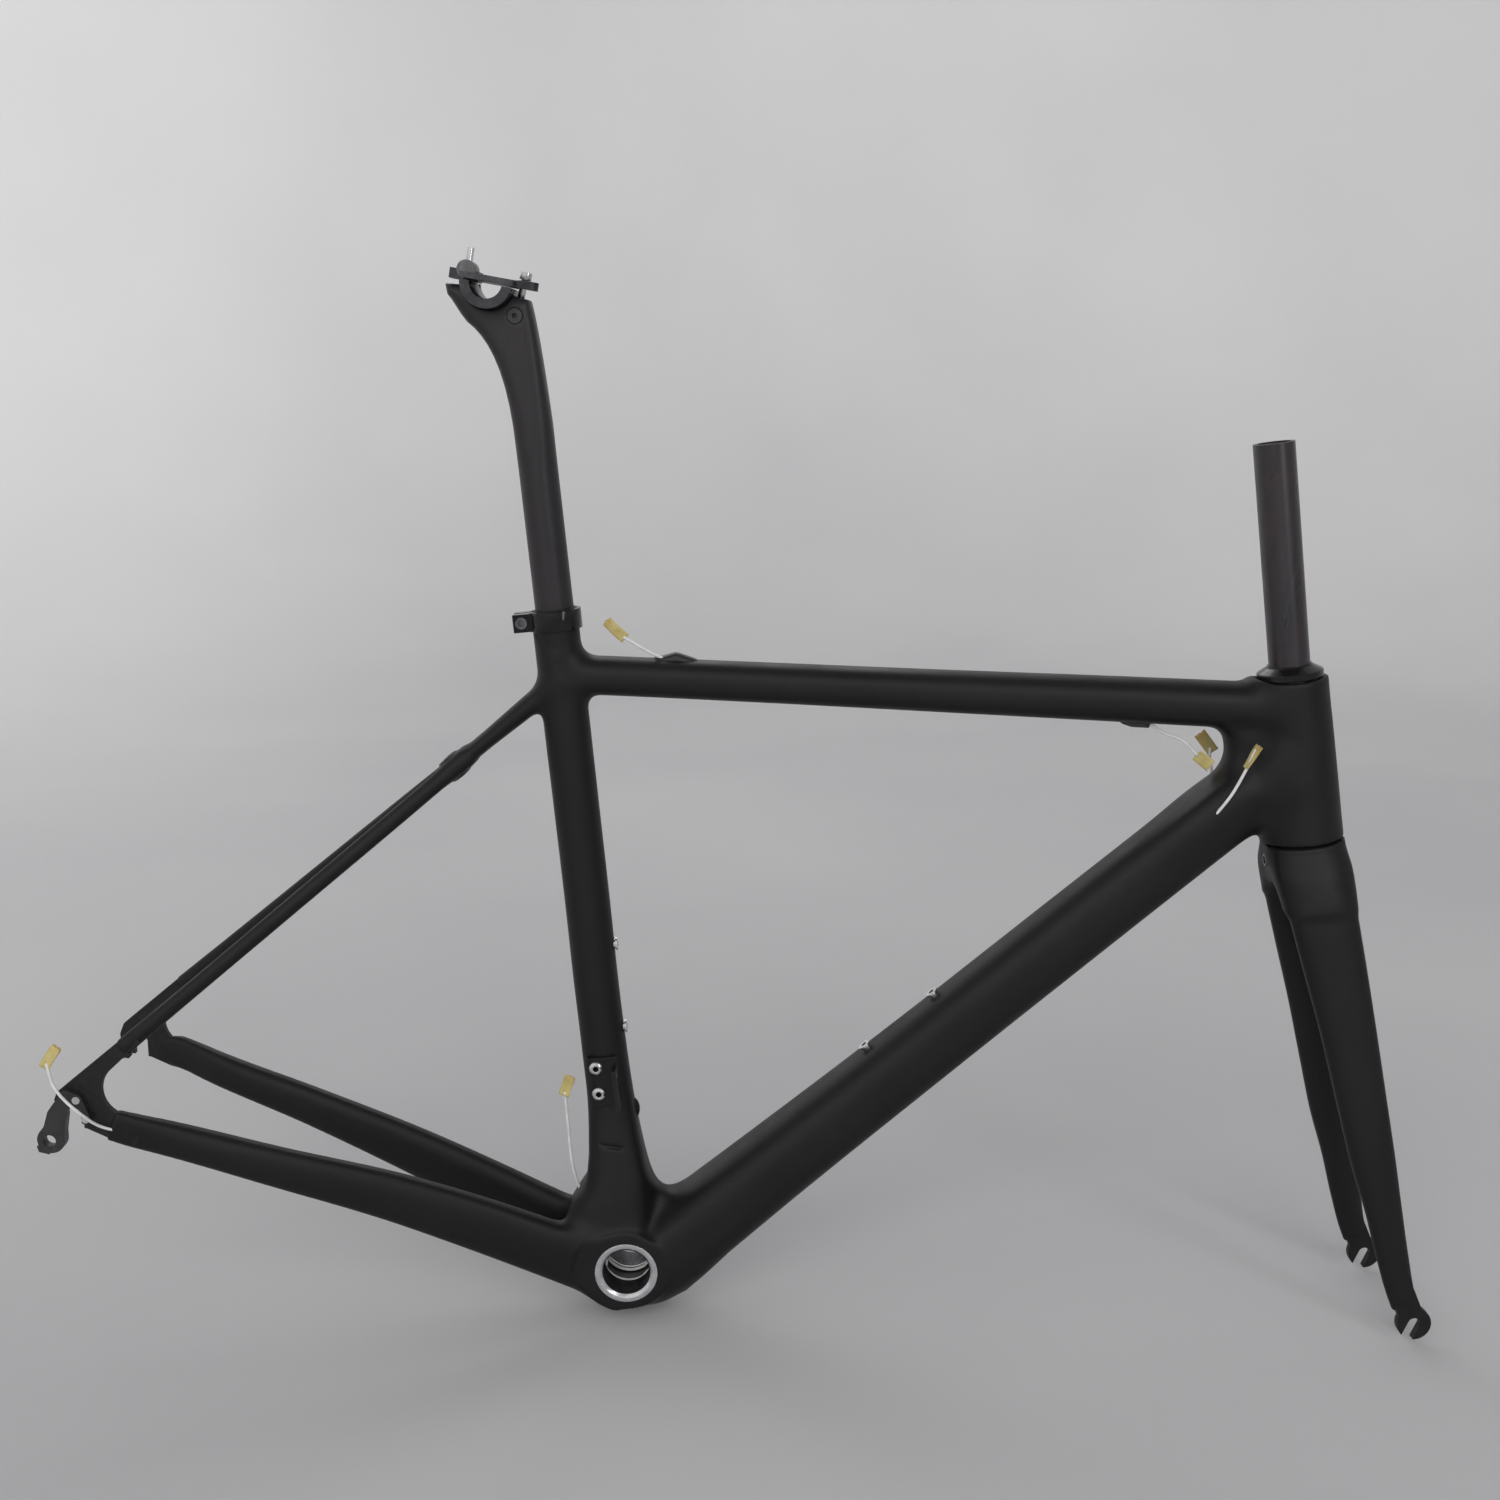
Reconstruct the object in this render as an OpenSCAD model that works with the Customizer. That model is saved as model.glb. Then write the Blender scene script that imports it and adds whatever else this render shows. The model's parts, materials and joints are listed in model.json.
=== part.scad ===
// Carbon road bicycle frameset for rim brakes: frame, fork, seatpost, headset and seat clamp.
// Millimetres. Origin at the centre of the bottom bracket shell, +X forward, +Y to the rider's
// left, +Z up with both wheel axles level. The drive side is -Y.

/* [Geometry] */
// Height of the wheel axles above the bottom bracket
bb_drop = 74; // [72:1:76]
// Distance from the bottom bracket to the rear axle
chainstay_l = 410; // [408:1:412]
// Distance from the bottom bracket to the front axle
front_centre = 580.5; // [579:0.5:582]
// Angle of the steering axis to the ground
head_angle = 72.3; // [72:0.1:72.6]
// Angle of the seat tube to the ground
seat_angle = 74.6; // [74.4:0.1:74.8]

/* [Head tube and fork] */
// Length of the head tube
head_tube_l = 118; // [116:1:120]
// Fork length along the steering axis, from the crown seat to the axle
fork_l = 363; // [361:1:365]
// Distance of the front axle ahead of the steering axis
fork_rake = 41; // [40:0.5:43]
// Length of the uncut steerer above the crown seat
steerer_l = 284; // [240:1:300]
// Outside radius of the steerer
steerer_r = 14.3; // [14.3]
// Inside face to inside face of the fork ends
front_hub_w = 100; // [100]

/* [Seat tube and seatpost] */
// Height of the seat tube's top along its own axis
seat_tube_l = 495; // [493:1:497]
// Outside radius of the seatpost
post_r = 13.6; // [13.6]
// Length of post held inside the seat tube at rest
post_insert = 130; // [120:1:140]
// Distance of the saddle clamp's tilt axis behind the bottom bracket
clamp_back = 207.5; // [207:0.5:208]
// Height of the saddle clamp's tilt axis
clamp_up = 688; // [687.5:0.5:688.5]

/* [Shell and stays] */
// Width of the bottom bracket shell
bb_w = 68; // [68]
// Wall radius of the bottom bracket thread
bb_thread_r = 17.35; // [17.35]
// Inside face to inside face of the rear dropouts
rear_hub_w = 130; // [130]
// Distance of the brake bolt holes from their axle
brake_reach_r = 352; // [350:1:354]
// Spacing of each pair of bottle cage bosses
bottle_pitch = 64; // [64]

/* [Hidden] */
$fn = 64;
eps = 0.01;

// Places worked out from the driving dimensions, each an [x, z] pair in the centre plane.
rear_axle = [-sqrt(pow(chainstay_l, 2) - pow(bb_drop, 2)), bb_drop];
front_axle = [sqrt(pow(front_centre, 2) - pow(bb_drop, 2)), bb_drop];
steer_down = [cos(head_angle), -sin(head_angle)];
steer_fwd = [sin(head_angle), cos(head_angle)];
seat_up = [-cos(seat_angle), sin(seat_angle)];
seat_fwd = [sin(seat_angle), cos(seat_angle)];
crown = front_axle - fork_l * steer_down - fork_rake * steer_fwd;

// Tubes
head_r_top = 24.5;
head_r_low = 28.5;
seat_r = 16.4;
seat_lip_r = 15.9;
post_bore_r = 13.65;
pod_r = 29.5;
wall = 1.6;
down_join = 62;      // where the down tube's centre line meets the steering axis
top_join = 95.5;     // where the top tube's centre line meets the steering axis
top_join_seat = 434; // height of the top tube's centre line at the seat tube
down_foot = [17, 0]; // where the down tube's centre line crosses the shell's height
top_foot = [-top_join_seat * cos(seat_angle), top_join_seat];
down_dir = unit(steer_pt(-down_join, 0) - down_foot);
top_dir = unit(steer_pt(-top_join, 0) - top_foot);
down_l = norm(steer_pt(-down_join, 0) - down_foot);
top_l = norm(steer_pt(-top_join, 0) - top_foot);

// Shell and bottle bosses
bb_cup_r = 21;
bb_flange_r = 23.3;
bb_cup_l = 23;
bottle_down_s = 264; // distance of the lower pair's middle along the down tube
bottle_seat_s = 213; // and of the upper pair's along the seat tube
boss_hole_r = 3.6;
boss_down_up = 26.75; // height of a boss's face above the down tube's centre line

// Headset, heights above the crown seat
low_seat_r = 26.05;
up_seat_r = 20.55;
race_h = 7;
low_race_z = 1.5;
up_race_z = head_tube_l - race_h - 0.5;
steerer_foot_r = 19.85;
low_track = [23, low_race_z + race_h / 2];
up_track = [17.75, up_race_z + race_h / 2];
ball_r = 1.6;
low_balls = 30;
up_balls = 22;
cover_z = head_tube_l + 0.6;

// Fork and brakes
crown_gap = 0.6;
brake_hole_r = 3.1;
brake_drop = fork_l - sqrt(pow(brake_reach_r, 2) - pow(fork_rake, 2));
axle_slot_r = 4.6;
rear_slot_r = 5.1;
plate_t = 6.5;
blade_out = front_hub_w / 2 + plate_t;
tip_lean = 12.8;     // how far the fork ends' slots lean
sleeve_r = 4.6;      // outside of the brake bolts' sleeves
sleeve_hole_r = sleeve_r + 0.02;
arch_r = 19;         // half width of the opening under the crown
arch_down = 52;      // and its centre's distance below the crown seat

// Dropouts and hanger, places measured from the rear axle
chain_dir = unit(rear_axle - [-40, 0]);
rear_slot_lean = 10;
plate_in = rear_hub_w / 2;
plate_out = plate_in + 4.6;
mech_hole_r = 4.5;
mech_hole = [-15, -23];
hanger_in = plate_out + 0.03;
hanger_out = hanger_in + 4.5;
hanger_screw_at = [[0.2, 10.8], [8.2, -2.2]];
screw_hole_r = 1.55;

// Seat cluster
collar_z = seat_tube_l - 15;
stay_angle = 49.45;
stay_slope = [cos(stay_angle), sin(stay_angle)];
bridge = [-184.5, 351.5];
stay_half = 6.1;
ear_bolt = [-23.5, 7.2];
collar_h = 14;

// Front derailleur bracket, places along and across the seat tube
rivet_up = [137, 157];
rivet_fwd = -6.5;
rivet_hole_r = 2.05;
bracket_y = -19;

// Cable liners and their ports
port_in = [352, -23.6, 413.5];
shell_liner_r = 19.6;
liner_r = 1.1;

// Seatpost
post_low = seat_tube_l - post_insert;
post_straight = 632;

// Saddle clamp
cradle_r = 17.5;
cradle_half_w = 27;
rail_r = 3.5;
rail_gauge = 44;
rail_z = clamp_up - 0.5;
tilt_axis = [-clamp_back, clamp_up];
nut_front = tilt_axis + [20.5, -18.3];
head_front = tilt_axis + [22.3, 6.35];
bolt_rear_x = tilt_axis[0] - 16.7;
bolt_rear_head = clamp_up - 13;
nut_rear = [bolt_rear_x, clamp_up + 6];
bolt_r = 2.5;
nose_dir = unit(head_front - nut_front);
front_bolt_l = 28;
rear_bolt_l = 34;
plate_low = 0.2; // the upper clamp's plate, heights above the tilt axis: its underside,
plate_mid = 4.2; // its top over the rails,
plate_top = 5.8; // and its top at the nose

function at3(p, y = 0) = [p[0], y, p[1]];
function unit(v) = v / norm(v);
function spow(v, e) = sign(v) * pow(abs(v), e);
function steer_pt(down, fwd) = crown + down * steer_down + fwd * steer_fwd;
function seat_pt(up, fwd = 0) = up * seat_up + fwd * seat_fwd;

// A ring of points: centre c, half sizes a along v and b along w, corner sharpness e
// (1 is an ellipse, less is squarer).
RING = 32;
function ring(c, v, w, a, b, e = 0.85) =
    [for (i = [0:RING - 1]) let (t = 360 * i / RING) c + v * a * spow(cos(t), e) + w * b * spow(sin(t), e)];

// A ring square to the centre plane, on a tube that runs along dir in that plane.
function tube_ring(p, dir, half_w, half_d, y = 0, e = 0.85) =
    ring(at3(p, y), [0, 1, 0], at3([-dir[1], dir[0]]), half_w, half_d, e);

// A ring that lies level across the fork, at a distance down the steering axis.
function fork_ring(down, fwd, y, half_d, half_w, e = 0.9) =
    ring(at3(steer_pt(down, fwd), y), at3(steer_fwd), [0, 1, 0], half_d, half_w, e);

// Joins rings into one closed solid, whichever way along the line they are listed.
module loft(rings) {
    n = len(rings[0]);
    m = len(rings);
    turn = cross(rings[0][n / 4] - rings[0][0], rings[0][n / 2] - rings[0][0]);
    listed = turn * (rings[1][0] + rings[1][n / 2] - rings[0][0] - rings[0][n / 2]) > 0;
    r = listed ? rings : [for (j = [m - 1:-1:0]) rings[j]];
    side = [for (j = [0:m - 2], i = [0:n - 1])
        let (a = j * n + i, b = j * n + (i + 1) % n) each [[a, b + n, b], [a, a + n, b + n]]];
    polyhedron(points = [for (p = r) each p],
        faces = concat([[for (i = [0:n - 1]) i]], side, [[for (i = [n - 1:-1:0]) (m - 1) * n + i]]));
}

module on_steerer() {
    translate(at3(crown)) rotate([0, head_angle - 90, 0]) children();
}
module on_seat_tube() {
    rotate([0, seat_angle - 90, 0]) children();
}
// Stands children on the line of the seatstays at the brake bridge, +Z up and to the rear.
module on_bridge() {
    translate(at3(bridge)) rotate([0, -stay_angle, 0]) children();
}
// A bar along Y between two heights of y, centred on the point p of the centre plane.
module cross_bar(p, r, y0, y1) {
    translate(at3(p, y0)) rotate([-90, 0, 0]) cylinder(r = r, h = y1 - y0);
}
// A flat plate cut from an outline in the centre plane, between two values of y.
module side_plate(y0, y1) {
    translate([0, y1, 0]) rotate([90, 0, 0]) linear_extrude(y1 - y0) children();
}
module tube(r_out, r_in, h) {
    difference() {
        cylinder(r = r_out, h = h);
        translate([0, 0, -1]) cylinder(r = r_in, h = h + 2);
    }
}
// A round rod from a to b, longer by extra at both ends.
module rod(a, b, r, extra = 0, sides = 24) {
    d = unit(b - a);
    translate(a - extra * d) rotate([0, acos(d[2]), atan2(d[1], d[0])])
        cylinder(r = r, h = norm(b - a) + 2 * extra, $fn = sides);
}
// The direction of a line through several points, at point i.
function line_dir(p, i) = unit(p[min(i + 1, len(p) - 1)] - p[max(i - 1, 0)]);
// A thin round line through several points, none of it parallel to Y.
module bent_line(points, r, sides = 12) {
    loft([for (i = [0:len(points) - 1])
        let (d = line_dir(points, i), v = unit(cross([0, 1, 0], d)), w = cross(d, v))
            [for (k = [0:sides - 1]) points[i] + r * (v * cos(360 * k / sides) + w * sin(360 * k / sides))]]);
}
// The way cut for a liner, eight-sided and a little wider.
module bent_hole(points, r = 1.9) {
    for (i = [0:len(points) - 2]) rod(points[i], points[i + 1], r, 1.2, 8);
}
module mirrored_pair() {
    children();
    mirror([0, 1, 0]) children();
}

// ---- Frame -------------------------------------------------------------------------------

function down_pt(s) = down_foot + s * down_dir;
function top_pt(s) = steer_pt(-top_join, 0) - s * top_dir;

module down_tube(shrink = 0) {
    loft([
        tube_ring(down_pt(-6 + 3 * shrink), down_dir, 31 - shrink, 24 - shrink),
        tube_ring(down_pt(70), down_dir, 30 - shrink, 27 - shrink),
        tube_ring(down_pt(170), down_dir, 26 - shrink, 26.5 - shrink),
        tube_ring(down_pt(down_l - 8), down_dir, 23 - shrink, 26 - shrink)]);
}
module top_tube(shrink = 0) {
    loft([
        tube_ring(top_pt(top_l), top_dir, 15.5 - shrink, 14.2 - shrink),
        tube_ring(top_pt(top_l * 0.5), top_dir, 19 - shrink, 14.8 - shrink),
        tube_ring(top_pt(8), top_dir, 19 - shrink, 16.4 - shrink)]);
}
// The seat tube widens towards the shell.
module seat_flare() {
    left = [0, 1, 0];
    loft([
        ring(at3(seat_pt(6)), at3(seat_fwd), left, 25, 31),
        ring(at3(seat_pt(55)), at3(seat_fwd), left, 22.5, 25),
        ring(at3(seat_pt(90)), at3(seat_fwd), left, 19, 20, 0.95),
        ring(at3(seat_pt(131)), at3(seat_fwd), left, seat_r - 1, seat_r - 1, 1)]);
}
module head_tube_solid() {
    on_steerer() cylinder(r1 = head_r_low, r2 = head_r_top, h = head_tube_l);
}
module head_tube_bore() {
    on_steerer() {
        translate([0, 0, -1]) cylinder(r = low_seat_r, h = low_race_z + race_h + 1);
        translate([0, 0, up_race_z]) cylinder(r = up_seat_r, h = race_h + 2);
        translate([0, 0, low_race_z + race_h - eps])
            cylinder(r1 = 22.5, r2 = 17.5, h = up_race_z - low_race_z - race_h + 2 * eps);
    }
}
module bottle_holes(r) {
    for (k = [-0.5, 0.5]) {
        translate(at3(down_pt(bottle_down_s + k * bottle_pitch), 0))
            rotate([0, -atan2(down_dir[1], down_dir[0]), 0]) cylinder(r = r, h = 40);
        translate(at3(seat_pt(bottle_seat_s + k * bottle_pitch)))
            rotate([0, seat_angle, 0]) cylinder(r = r, h = 30);
    }
}

module front_triangle() {
    color("#232324") difference() {
        union() {
            down_tube();
            top_tube();
            seat_flare();
            on_seat_tube() cylinder(r = seat_r, h = collar_z - 0.5);
            on_seat_tube() cylinder(r = seat_lip_r, h = seat_tube_l);
            head_tube_solid();
            cross_bar([0, 0], pod_r, -bb_w / 2 + 0.6, bb_w / 2 - 0.6);
        }
        difference() {
            union() {
                down_tube(wall);
                top_tube(wall);
            }
            on_steerer() cylinder(r = head_r_top - 2, h = head_tube_l);
        }
        on_seat_tube() translate([0, 0, 30]) cylinder(r = post_bore_r, h = seat_tube_l);
        head_tube_bore();
        cross_bar([0, 0], bb_cup_r + 0.02, -bb_w, bb_w);
        bottle_holes(boss_hole_r);
        rivet_holes(rivet_hole_r);
        cable_holes();
    }
}

module bb_cup(side) {
    color("silver") mirror([0, side > 0 ? 0 : 1, 0]) difference() {
        union() {
            cross_bar([0, 0], bb_cup_r, bb_w / 2 - bb_cup_l, bb_w / 2);
            cross_bar([0, 0], bb_flange_r, bb_w / 2 - 0.6 + eps, bb_w / 2);
        }
        cross_bar([0, 0], bb_thread_r, 0, bb_w);
    }
}
module bb_cup_right() {
    bb_cup(-1);
}
module bb_cup_left() {
    bb_cup(1);
}

// ---- Stays and dropouts ------------------------------------------------------------------

// One chainstay, on the side given by the sign of side.
module chainstay_loft(side, shrink = 0) {
    loft([for (s = [
            [-12, -3, 21, 19.5, 9.5],
            [-62, 7.5, 27, 21, 11.5],
            [-110, 20.5, 34, 20.5, 10.5],
            [-175, 34.8, 41, 19, 9.5],
            [-262, 48.3, 50.5, 15.6, 8.5],
            [-345, 61.5, 59.5, 13, 7.5],
            [-375.5, 67.5, 65.5, 12, 5.5]])
        tube_ring([s[0], s[1]], chain_dir, s[4] - shrink, s[3] - shrink, side * s[2], 0.8)]);
}
module chainstay(side) {
    color("#222223") difference() {
        chainstay_loft(side);
        intersection() {
            chainstay_loft(side, wall);
            translate([-364, side < 0 ? -100 : 0, -60]) cube([330, 100, 200]);
        }
        plate_socket(side);
        cross_bar([0, 0], pod_r, -bb_w, bb_w);
        cable_holes();
    }
}
module chainstay_right() {
    chainstay(-1);
}
module chainstay_left() {
    chainstay(1);
}

function stay_pt(s) = bridge + s * stay_slope;
module stay_leg(shrink = 0) {
    loft([
        tube_ring(stay_pt(14), stay_slope, 5.5 - shrink, stay_half - shrink, 6),
        tube_ring(stay_pt(-30), stay_slope, 6.5 - shrink, stay_half - shrink, 18),
        tube_ring(stay_pt(-150), stay_slope, 5.6 - shrink, 5.8 - shrink, 43),
        tube_ring(stay_pt(-268), stay_slope, 5 - shrink, 5.9 - shrink, 63),
        tube_ring(stay_pt(-294), stay_slope, 4.4 - shrink, stay_half - shrink, 66.4)]);
}
module seatstays() {
    color("#222223") difference() {
        union() {
            mirrored_pair() stay_leg();
            loft([
                tube_ring(stay_pt(-6), stay_slope, 12, stay_half),
                tube_ring(stay_pt(30), stay_slope, 11.5, stay_half),
                tube_ring(stay_pt(76), stay_slope, 12.5, stay_half + 1.5)]);
            on_bridge() translate([0, 0, -8.2]) cylinder(r = 7.4, h = 16.4);
        }
        on_bridge() translate([0, 0, -20]) cylinder(r = sleeve_hole_r, h = 40);
        on_seat_tube() cylinder(r = post_bore_r + 0.8, h = seat_tube_l + 40);
        plate_socket(-1);
        plate_socket(1);
    }
}
module rear_brake_sleeve() {
    color("silver") on_bridge() translate([0, 0, -8.4]) tube(sleeve_r, brake_hole_r, 16.8);
}

// Outline of a rear dropout, measured from the axle: the seatstay's foot at the top, the
// chainstay's end at the right, and a jaw each side of the axle slot.
module dropout_outline() {
    offset(r = 1.5) offset(delta = -1.5) difference() {
        polygon([[23.5, 57.5], [-9.5, 19], [-15, 12.5], [-16.8, 4], [-15, -5], [-9.5, -10.5],
            [9, -11], [25.5, -15.7], [45, -17.5], [45, -4], [29.5, -1], [29.5, 7], [35.5, 22.5],
            [33, 49.6], [31.3, 51], [39.1, 60.1], [33, 65.3], [25.2, 56.2]]);
        hull() {
            translate([35.5, 22.5]) circle(r = 20);
            translate([30.7, 42.8]) circle(r = 4);
        }
    }
}
module rear_axle_slot() {
    cross_bar(rear_axle, rear_slot_r, -90, 90);
    translate(at3(rear_axle)) rotate([0, -rear_slot_lean, 0])
        translate([-rear_slot_r + 0.06, -90, -60]) cube([2 * rear_slot_r - 0.12, 180, 60]);
}
// The stays are slotted to take the dropout plates.
module plate_socket(side) {
    side_plate(side < 0 ? -plate_out - 0.02 : plate_in - 0.02, side < 0 ? 0.02 - plate_in : plate_out + 0.02)
        translate(rear_axle) dropout_outline();
}
module dropout_plate(side) {
    difference() {
        side_plate(side < 0 ? -plate_out : plate_in, side < 0 ? -plate_in : plate_out)
            translate(rear_axle) dropout_outline();
        rear_axle_slot();
    }
}
module dropout_right() {
    color("#262627") difference() {
        dropout_plate(-1);
        translate(at3(rear_axle + [-30, -20], -90)) cube([30 - rear_slot_r + 0.5, 40, 26]);
        translate(at3(rear_axle + [-30, -20], -90)) cube([30, 40, 20]);
        for (p = hanger_screw_at) cross_bar(rear_axle + p, screw_hole_r, -90, 0);
        cable_holes();
    }
}
module dropout_left() {
    color("#262627") dropout_plate(1);
}

module hanger_arm() {
    hull() {
        translate([-12, -3]) circle(r = 6.8);
        translate([-6.5, 11.5]) circle(r = 5.2);
    }
    hull() {
        translate([-6.5, 11.5]) circle(r = 5.2);
        translate(hanger_screw_at[0]) circle(r = 4.4);
    }
    hull() {
        translate(hanger_screw_at[0]) circle(r = 4.4);
        translate(hanger_screw_at[1]) circle(r = 3.8);
    }
}
module hanger_lobe() {
    hull() {
        translate([-12, -3]) circle(r = 6.8);
        translate([-12.8, -15]) circle(r = 7.6);
    }
    hull() {
        translate([-12.8, -15]) circle(r = 7.6);
        translate(mech_hole + [1, 1]) circle(r = 9.8);
    }
    polygon([[-14, -25], [-23.5, -28.5], [-21.5, -32.5], [-14, -33]]);
}
module derailleur_hanger() {
    color("#1f1f20") difference() {
        union() {
            side_plate(-hanger_out, -hanger_in) translate(rear_axle) hanger_arm();
            side_plate(-hanger_out, -hanger_in + 3) translate(rear_axle) hanger_lobe();
        }
        rear_axle_slot();
        cross_bar(rear_axle + mech_hole, mech_hole_r, -90, 0);
        for (p = hanger_screw_at) {
            cross_bar(rear_axle + p, screw_hole_r, -90, 0);
            translate(at3(rear_axle + p, -hanger_out - eps)) rotate([-90, 0, 0])
                cylinder(r1 = 2.9, r2 = 1.5, h = 1.5);
        }
    }
}
module hanger_screws() {
    color("silver") for (p = hanger_screw_at) {
        translate(at3(rear_axle + p, -hanger_out)) rotate([-90, 0, 0]) cylinder(r1 = 2.8, r2 = 1.45, h = 1.4);
        cross_bar(rear_axle + p, 1.45, -hanger_out, -plate_in);
    }
}

// ---- Small frame fittings ----------------------------------------------------------------

module boss_insert() {
    difference() {
        union() {
            cylinder(r = boss_hole_r - 0.05, h = 11);
            translate([0, 0, 10]) cylinder(r = 4.8, h = 1.2);
        }
        translate([0, 0, -1]) cylinder(r = 2.1, h = 20);
    }
}
module bottle_bosses() {
    color("silver") for (k = [-0.5, 0.5]) {
        translate(at3(down_pt(bottle_down_s + k * bottle_pitch)))
            rotate([0, -atan2(down_dir[1], down_dir[0]), 0]) translate([0, 0, boss_down_up - 10]) boss_insert();
        translate(at3(seat_pt(bottle_seat_s + k * bottle_pitch)))
            rotate([0, seat_angle, 0]) translate([0, 0, seat_r + 0.05 - 10]) boss_insert();
    }
}

// Seat clamp, around the thinner lip at the top of the seat tube, split at the rear.
module seat_collar() {
    color("#151516") on_seat_tube() translate([0, 0, collar_z]) difference() {
        union() {
            cylinder(r = 18.3, h = collar_h);
            translate([-29.3, -9, 0.6]) cube([14, 18, collar_h - 1.2]);
        }
        translate([0, 0, -1]) cylinder(r = seat_lip_r + 0.05, h = collar_h + 2);
        translate([-40, -1.5, -1]) cube([40, 3, collar_h + 2]);
        translate([ear_bolt[0], 0, ear_bolt[1]]) rotate([90, 0, 0]) cylinder(r = 2.55, h = 40, center = true);
        translate([ear_bolt[0], -6, ear_bolt[1]]) rotate([90, 0, 0]) cylinder(r = 4.4, h = 10);
    }
}
module seat_collar_bolt() {
    color("silver") on_seat_tube() translate([ear_bolt[0], 0, collar_z + ear_bolt[1]]) rotate([90, 0, 0]) {
        translate([0, 0, -8.8]) cylinder(r = 2.5, h = 15);
        difference() {
            translate([0, 0, 6.05]) cylinder(r = 4.2, h = 3.4);
            translate([0, 0, 7.5]) cylinder(r = 2.3, h = 4, $fn = 6);
        }
    }
}

// Front derailleur bracket, riveted to the right of the seat tube.
module front_mech_bracket() {
    color("#161617") on_seat_tube() difference() {
        union() {
            translate([-12.5, bracket_y, 127]) cube([21.5, 10, 38]);
            translate([5.8, -31, 127]) cube([3.2, 20, 31]);
        }
        translate([0, 0, 100]) cylinder(r = seat_r + 0.03, h = 90);
        for (z = rivet_up) translate([rivet_fwd, -40, z])
            rotate([-90, 0, 0]) cylinder(r = rivet_hole_r, h = 40);
        translate([0, -25, 137]) rotate([0, 90, 0]) cylinder(r = 2.6, h = 20);
        translate([0, -25, 149]) rotate([0, 90, 0]) cylinder(r = 2.6, h = 20);
        translate([0, -27.6, 137]) cube([20, 5.2, 12]);
    }
}
module rivet_holes(r) {
    on_seat_tube() for (z = rivet_up) translate([rivet_fwd, -30, z])
        rotate([-90, 0, 0]) cylinder(r = r, h = 20);
}
module front_mech_rivets() {
    color("silver") on_seat_tube() for (z = rivet_up) translate([rivet_fwd, bracket_y, z]) rotate([90, 0, 0]) {
        translate([0, 0, -6]) cylinder(r = 2, h = 6.5);
        rotate_extrude() difference() {
            translate([0, -6.3]) intersection() {
                circle(r = 8.3);
                translate([0, 6.33]) square([5.2, 3]);
            }
            translate([0, 1]) square([1, 3]);
        }
    }
}

// ---- Cable ports and liners --------------------------------------------------------------

// Between the cups the liners keep to the outer edge of the shell's bore, clear of an axle.
function shell_arc(y) = [for (t = [20:30:170]) [shell_liner_r * cos(t), y, -shell_liner_r * sin(t)]];
function gear_path(side) = concat([
    [368, side * 33, 470], [365, side * 32, 455], [360, side * 28, 434],
    [port_in[0], -side * port_in[1], port_in[2]], at3(down_pt(down_l - 95), side * 15),
    at3(down_pt(60), side * 8)], shell_arc(side * 8));
rear_gear_path = concat(gear_path(-1), [[-52, -27, 8], [-110, -34, 22],
    at3([-262, 50], -50.5), [-345, -60, 63], [-379, -71.6, 66.5], [-396, -81.5, 79], [-415, -81.5, 94],
    [-424, -80, 112]]);
front_gear_path = concat(gear_path(1), [[-33, 4, 22], [-52, 1, 58], [-62, -2, 96], [-68, -6, 122]]);
brake_path = [[-80, -10, 467], [-62, -6, 459.5], [-50, -3, 455.6], [-36, 0, 451], at3(top_pt(300)),
    at3(top_pt(140)), [284, 0, 476.5], [300, 0, 469.5], [312, 0, 464.8], [326, 2, 461.5], [340, 5, 452]];
module cable_holes() {
    bent_hole(rear_gear_path);
    bent_hole(front_gear_path);
    bent_hole(brake_path);
}
module rear_gear_liner() {
    color("#e6e6e0") bent_line(rear_gear_path, liner_r);
}
module front_gear_liner() {
    color("#e6e6e0") bent_line(front_gear_path, liner_r);
}
module brake_liner() {
    color("#e6e6e0") bent_line(brake_path, liner_r);
}
// A flag of tape folded over a liner's end: p the end, turn its rotation.
module tag(p, turn) {
    translate(p) rotate(turn) translate([-2, -0.25, -4.5]) cube([19, 0.5, 9]);
}
module liner_tags() {
    color("#c9b25a") {
        tag(rear_gear_path[0], [0, -75, 0]);
        tag(front_gear_path[0], [0, -80, 10]);
        tag(brake_path[0], [0, 200, 0]);
        tag(brake_path[len(brake_path) - 1], [0, 20, 0]);
        tag(rear_gear_path[len(rear_gear_path) - 1], [0, -70, 0]);
        tag(front_gear_path[len(front_gear_path) - 1], [0, -80, 0]);
    }
}
// Guide on top of the top tube, where the brake liner comes out towards the rear.
module brake_port_rear() {
    color("#19191a") difference() {
        side_plate(-5, 5)
            polygon([[-56, 445], [-56, 455.6], [-52, 456.4], [-41, 460.6], [-26, 458.6], [-24, 450]]);
        top_tube(-0.03);
        bent_hole(brake_path);
    }
}
module brake_port_front() {
    color("#19191a") difference() {
        hull() for (s = [101, 112]) translate(at3(top_pt(s)))
            rotate([180, 7.5, 0]) cylinder(r = 5, h = 18.4, $fn = 32);
        top_tube(-0.03);
        bent_hole(brake_path);
    }
}
module gear_port(side) {
    color("#19191a") difference() {
        hull() for (s = [-8, 8])
            translate([port_in[0], 0, port_in[2]] + s * at3(down_dir)) rotate([side < 0 ? 90 : -90, 0, 0])
                cylinder(r = 5.5, h = 25.2, $fn = 32);
        down_tube(-0.03);
        on_steerer() cylinder(r1 = head_r_low + 0.03, r2 = head_r_top + 0.03, h = head_tube_l);
        top_tube(-0.03);
        bent_hole(side < 0 ? rear_gear_path : front_gear_path);
    }
}
module gear_port_right() {
    gear_port(-1);
}
module gear_port_left() {
    gear_port(1);
}
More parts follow.
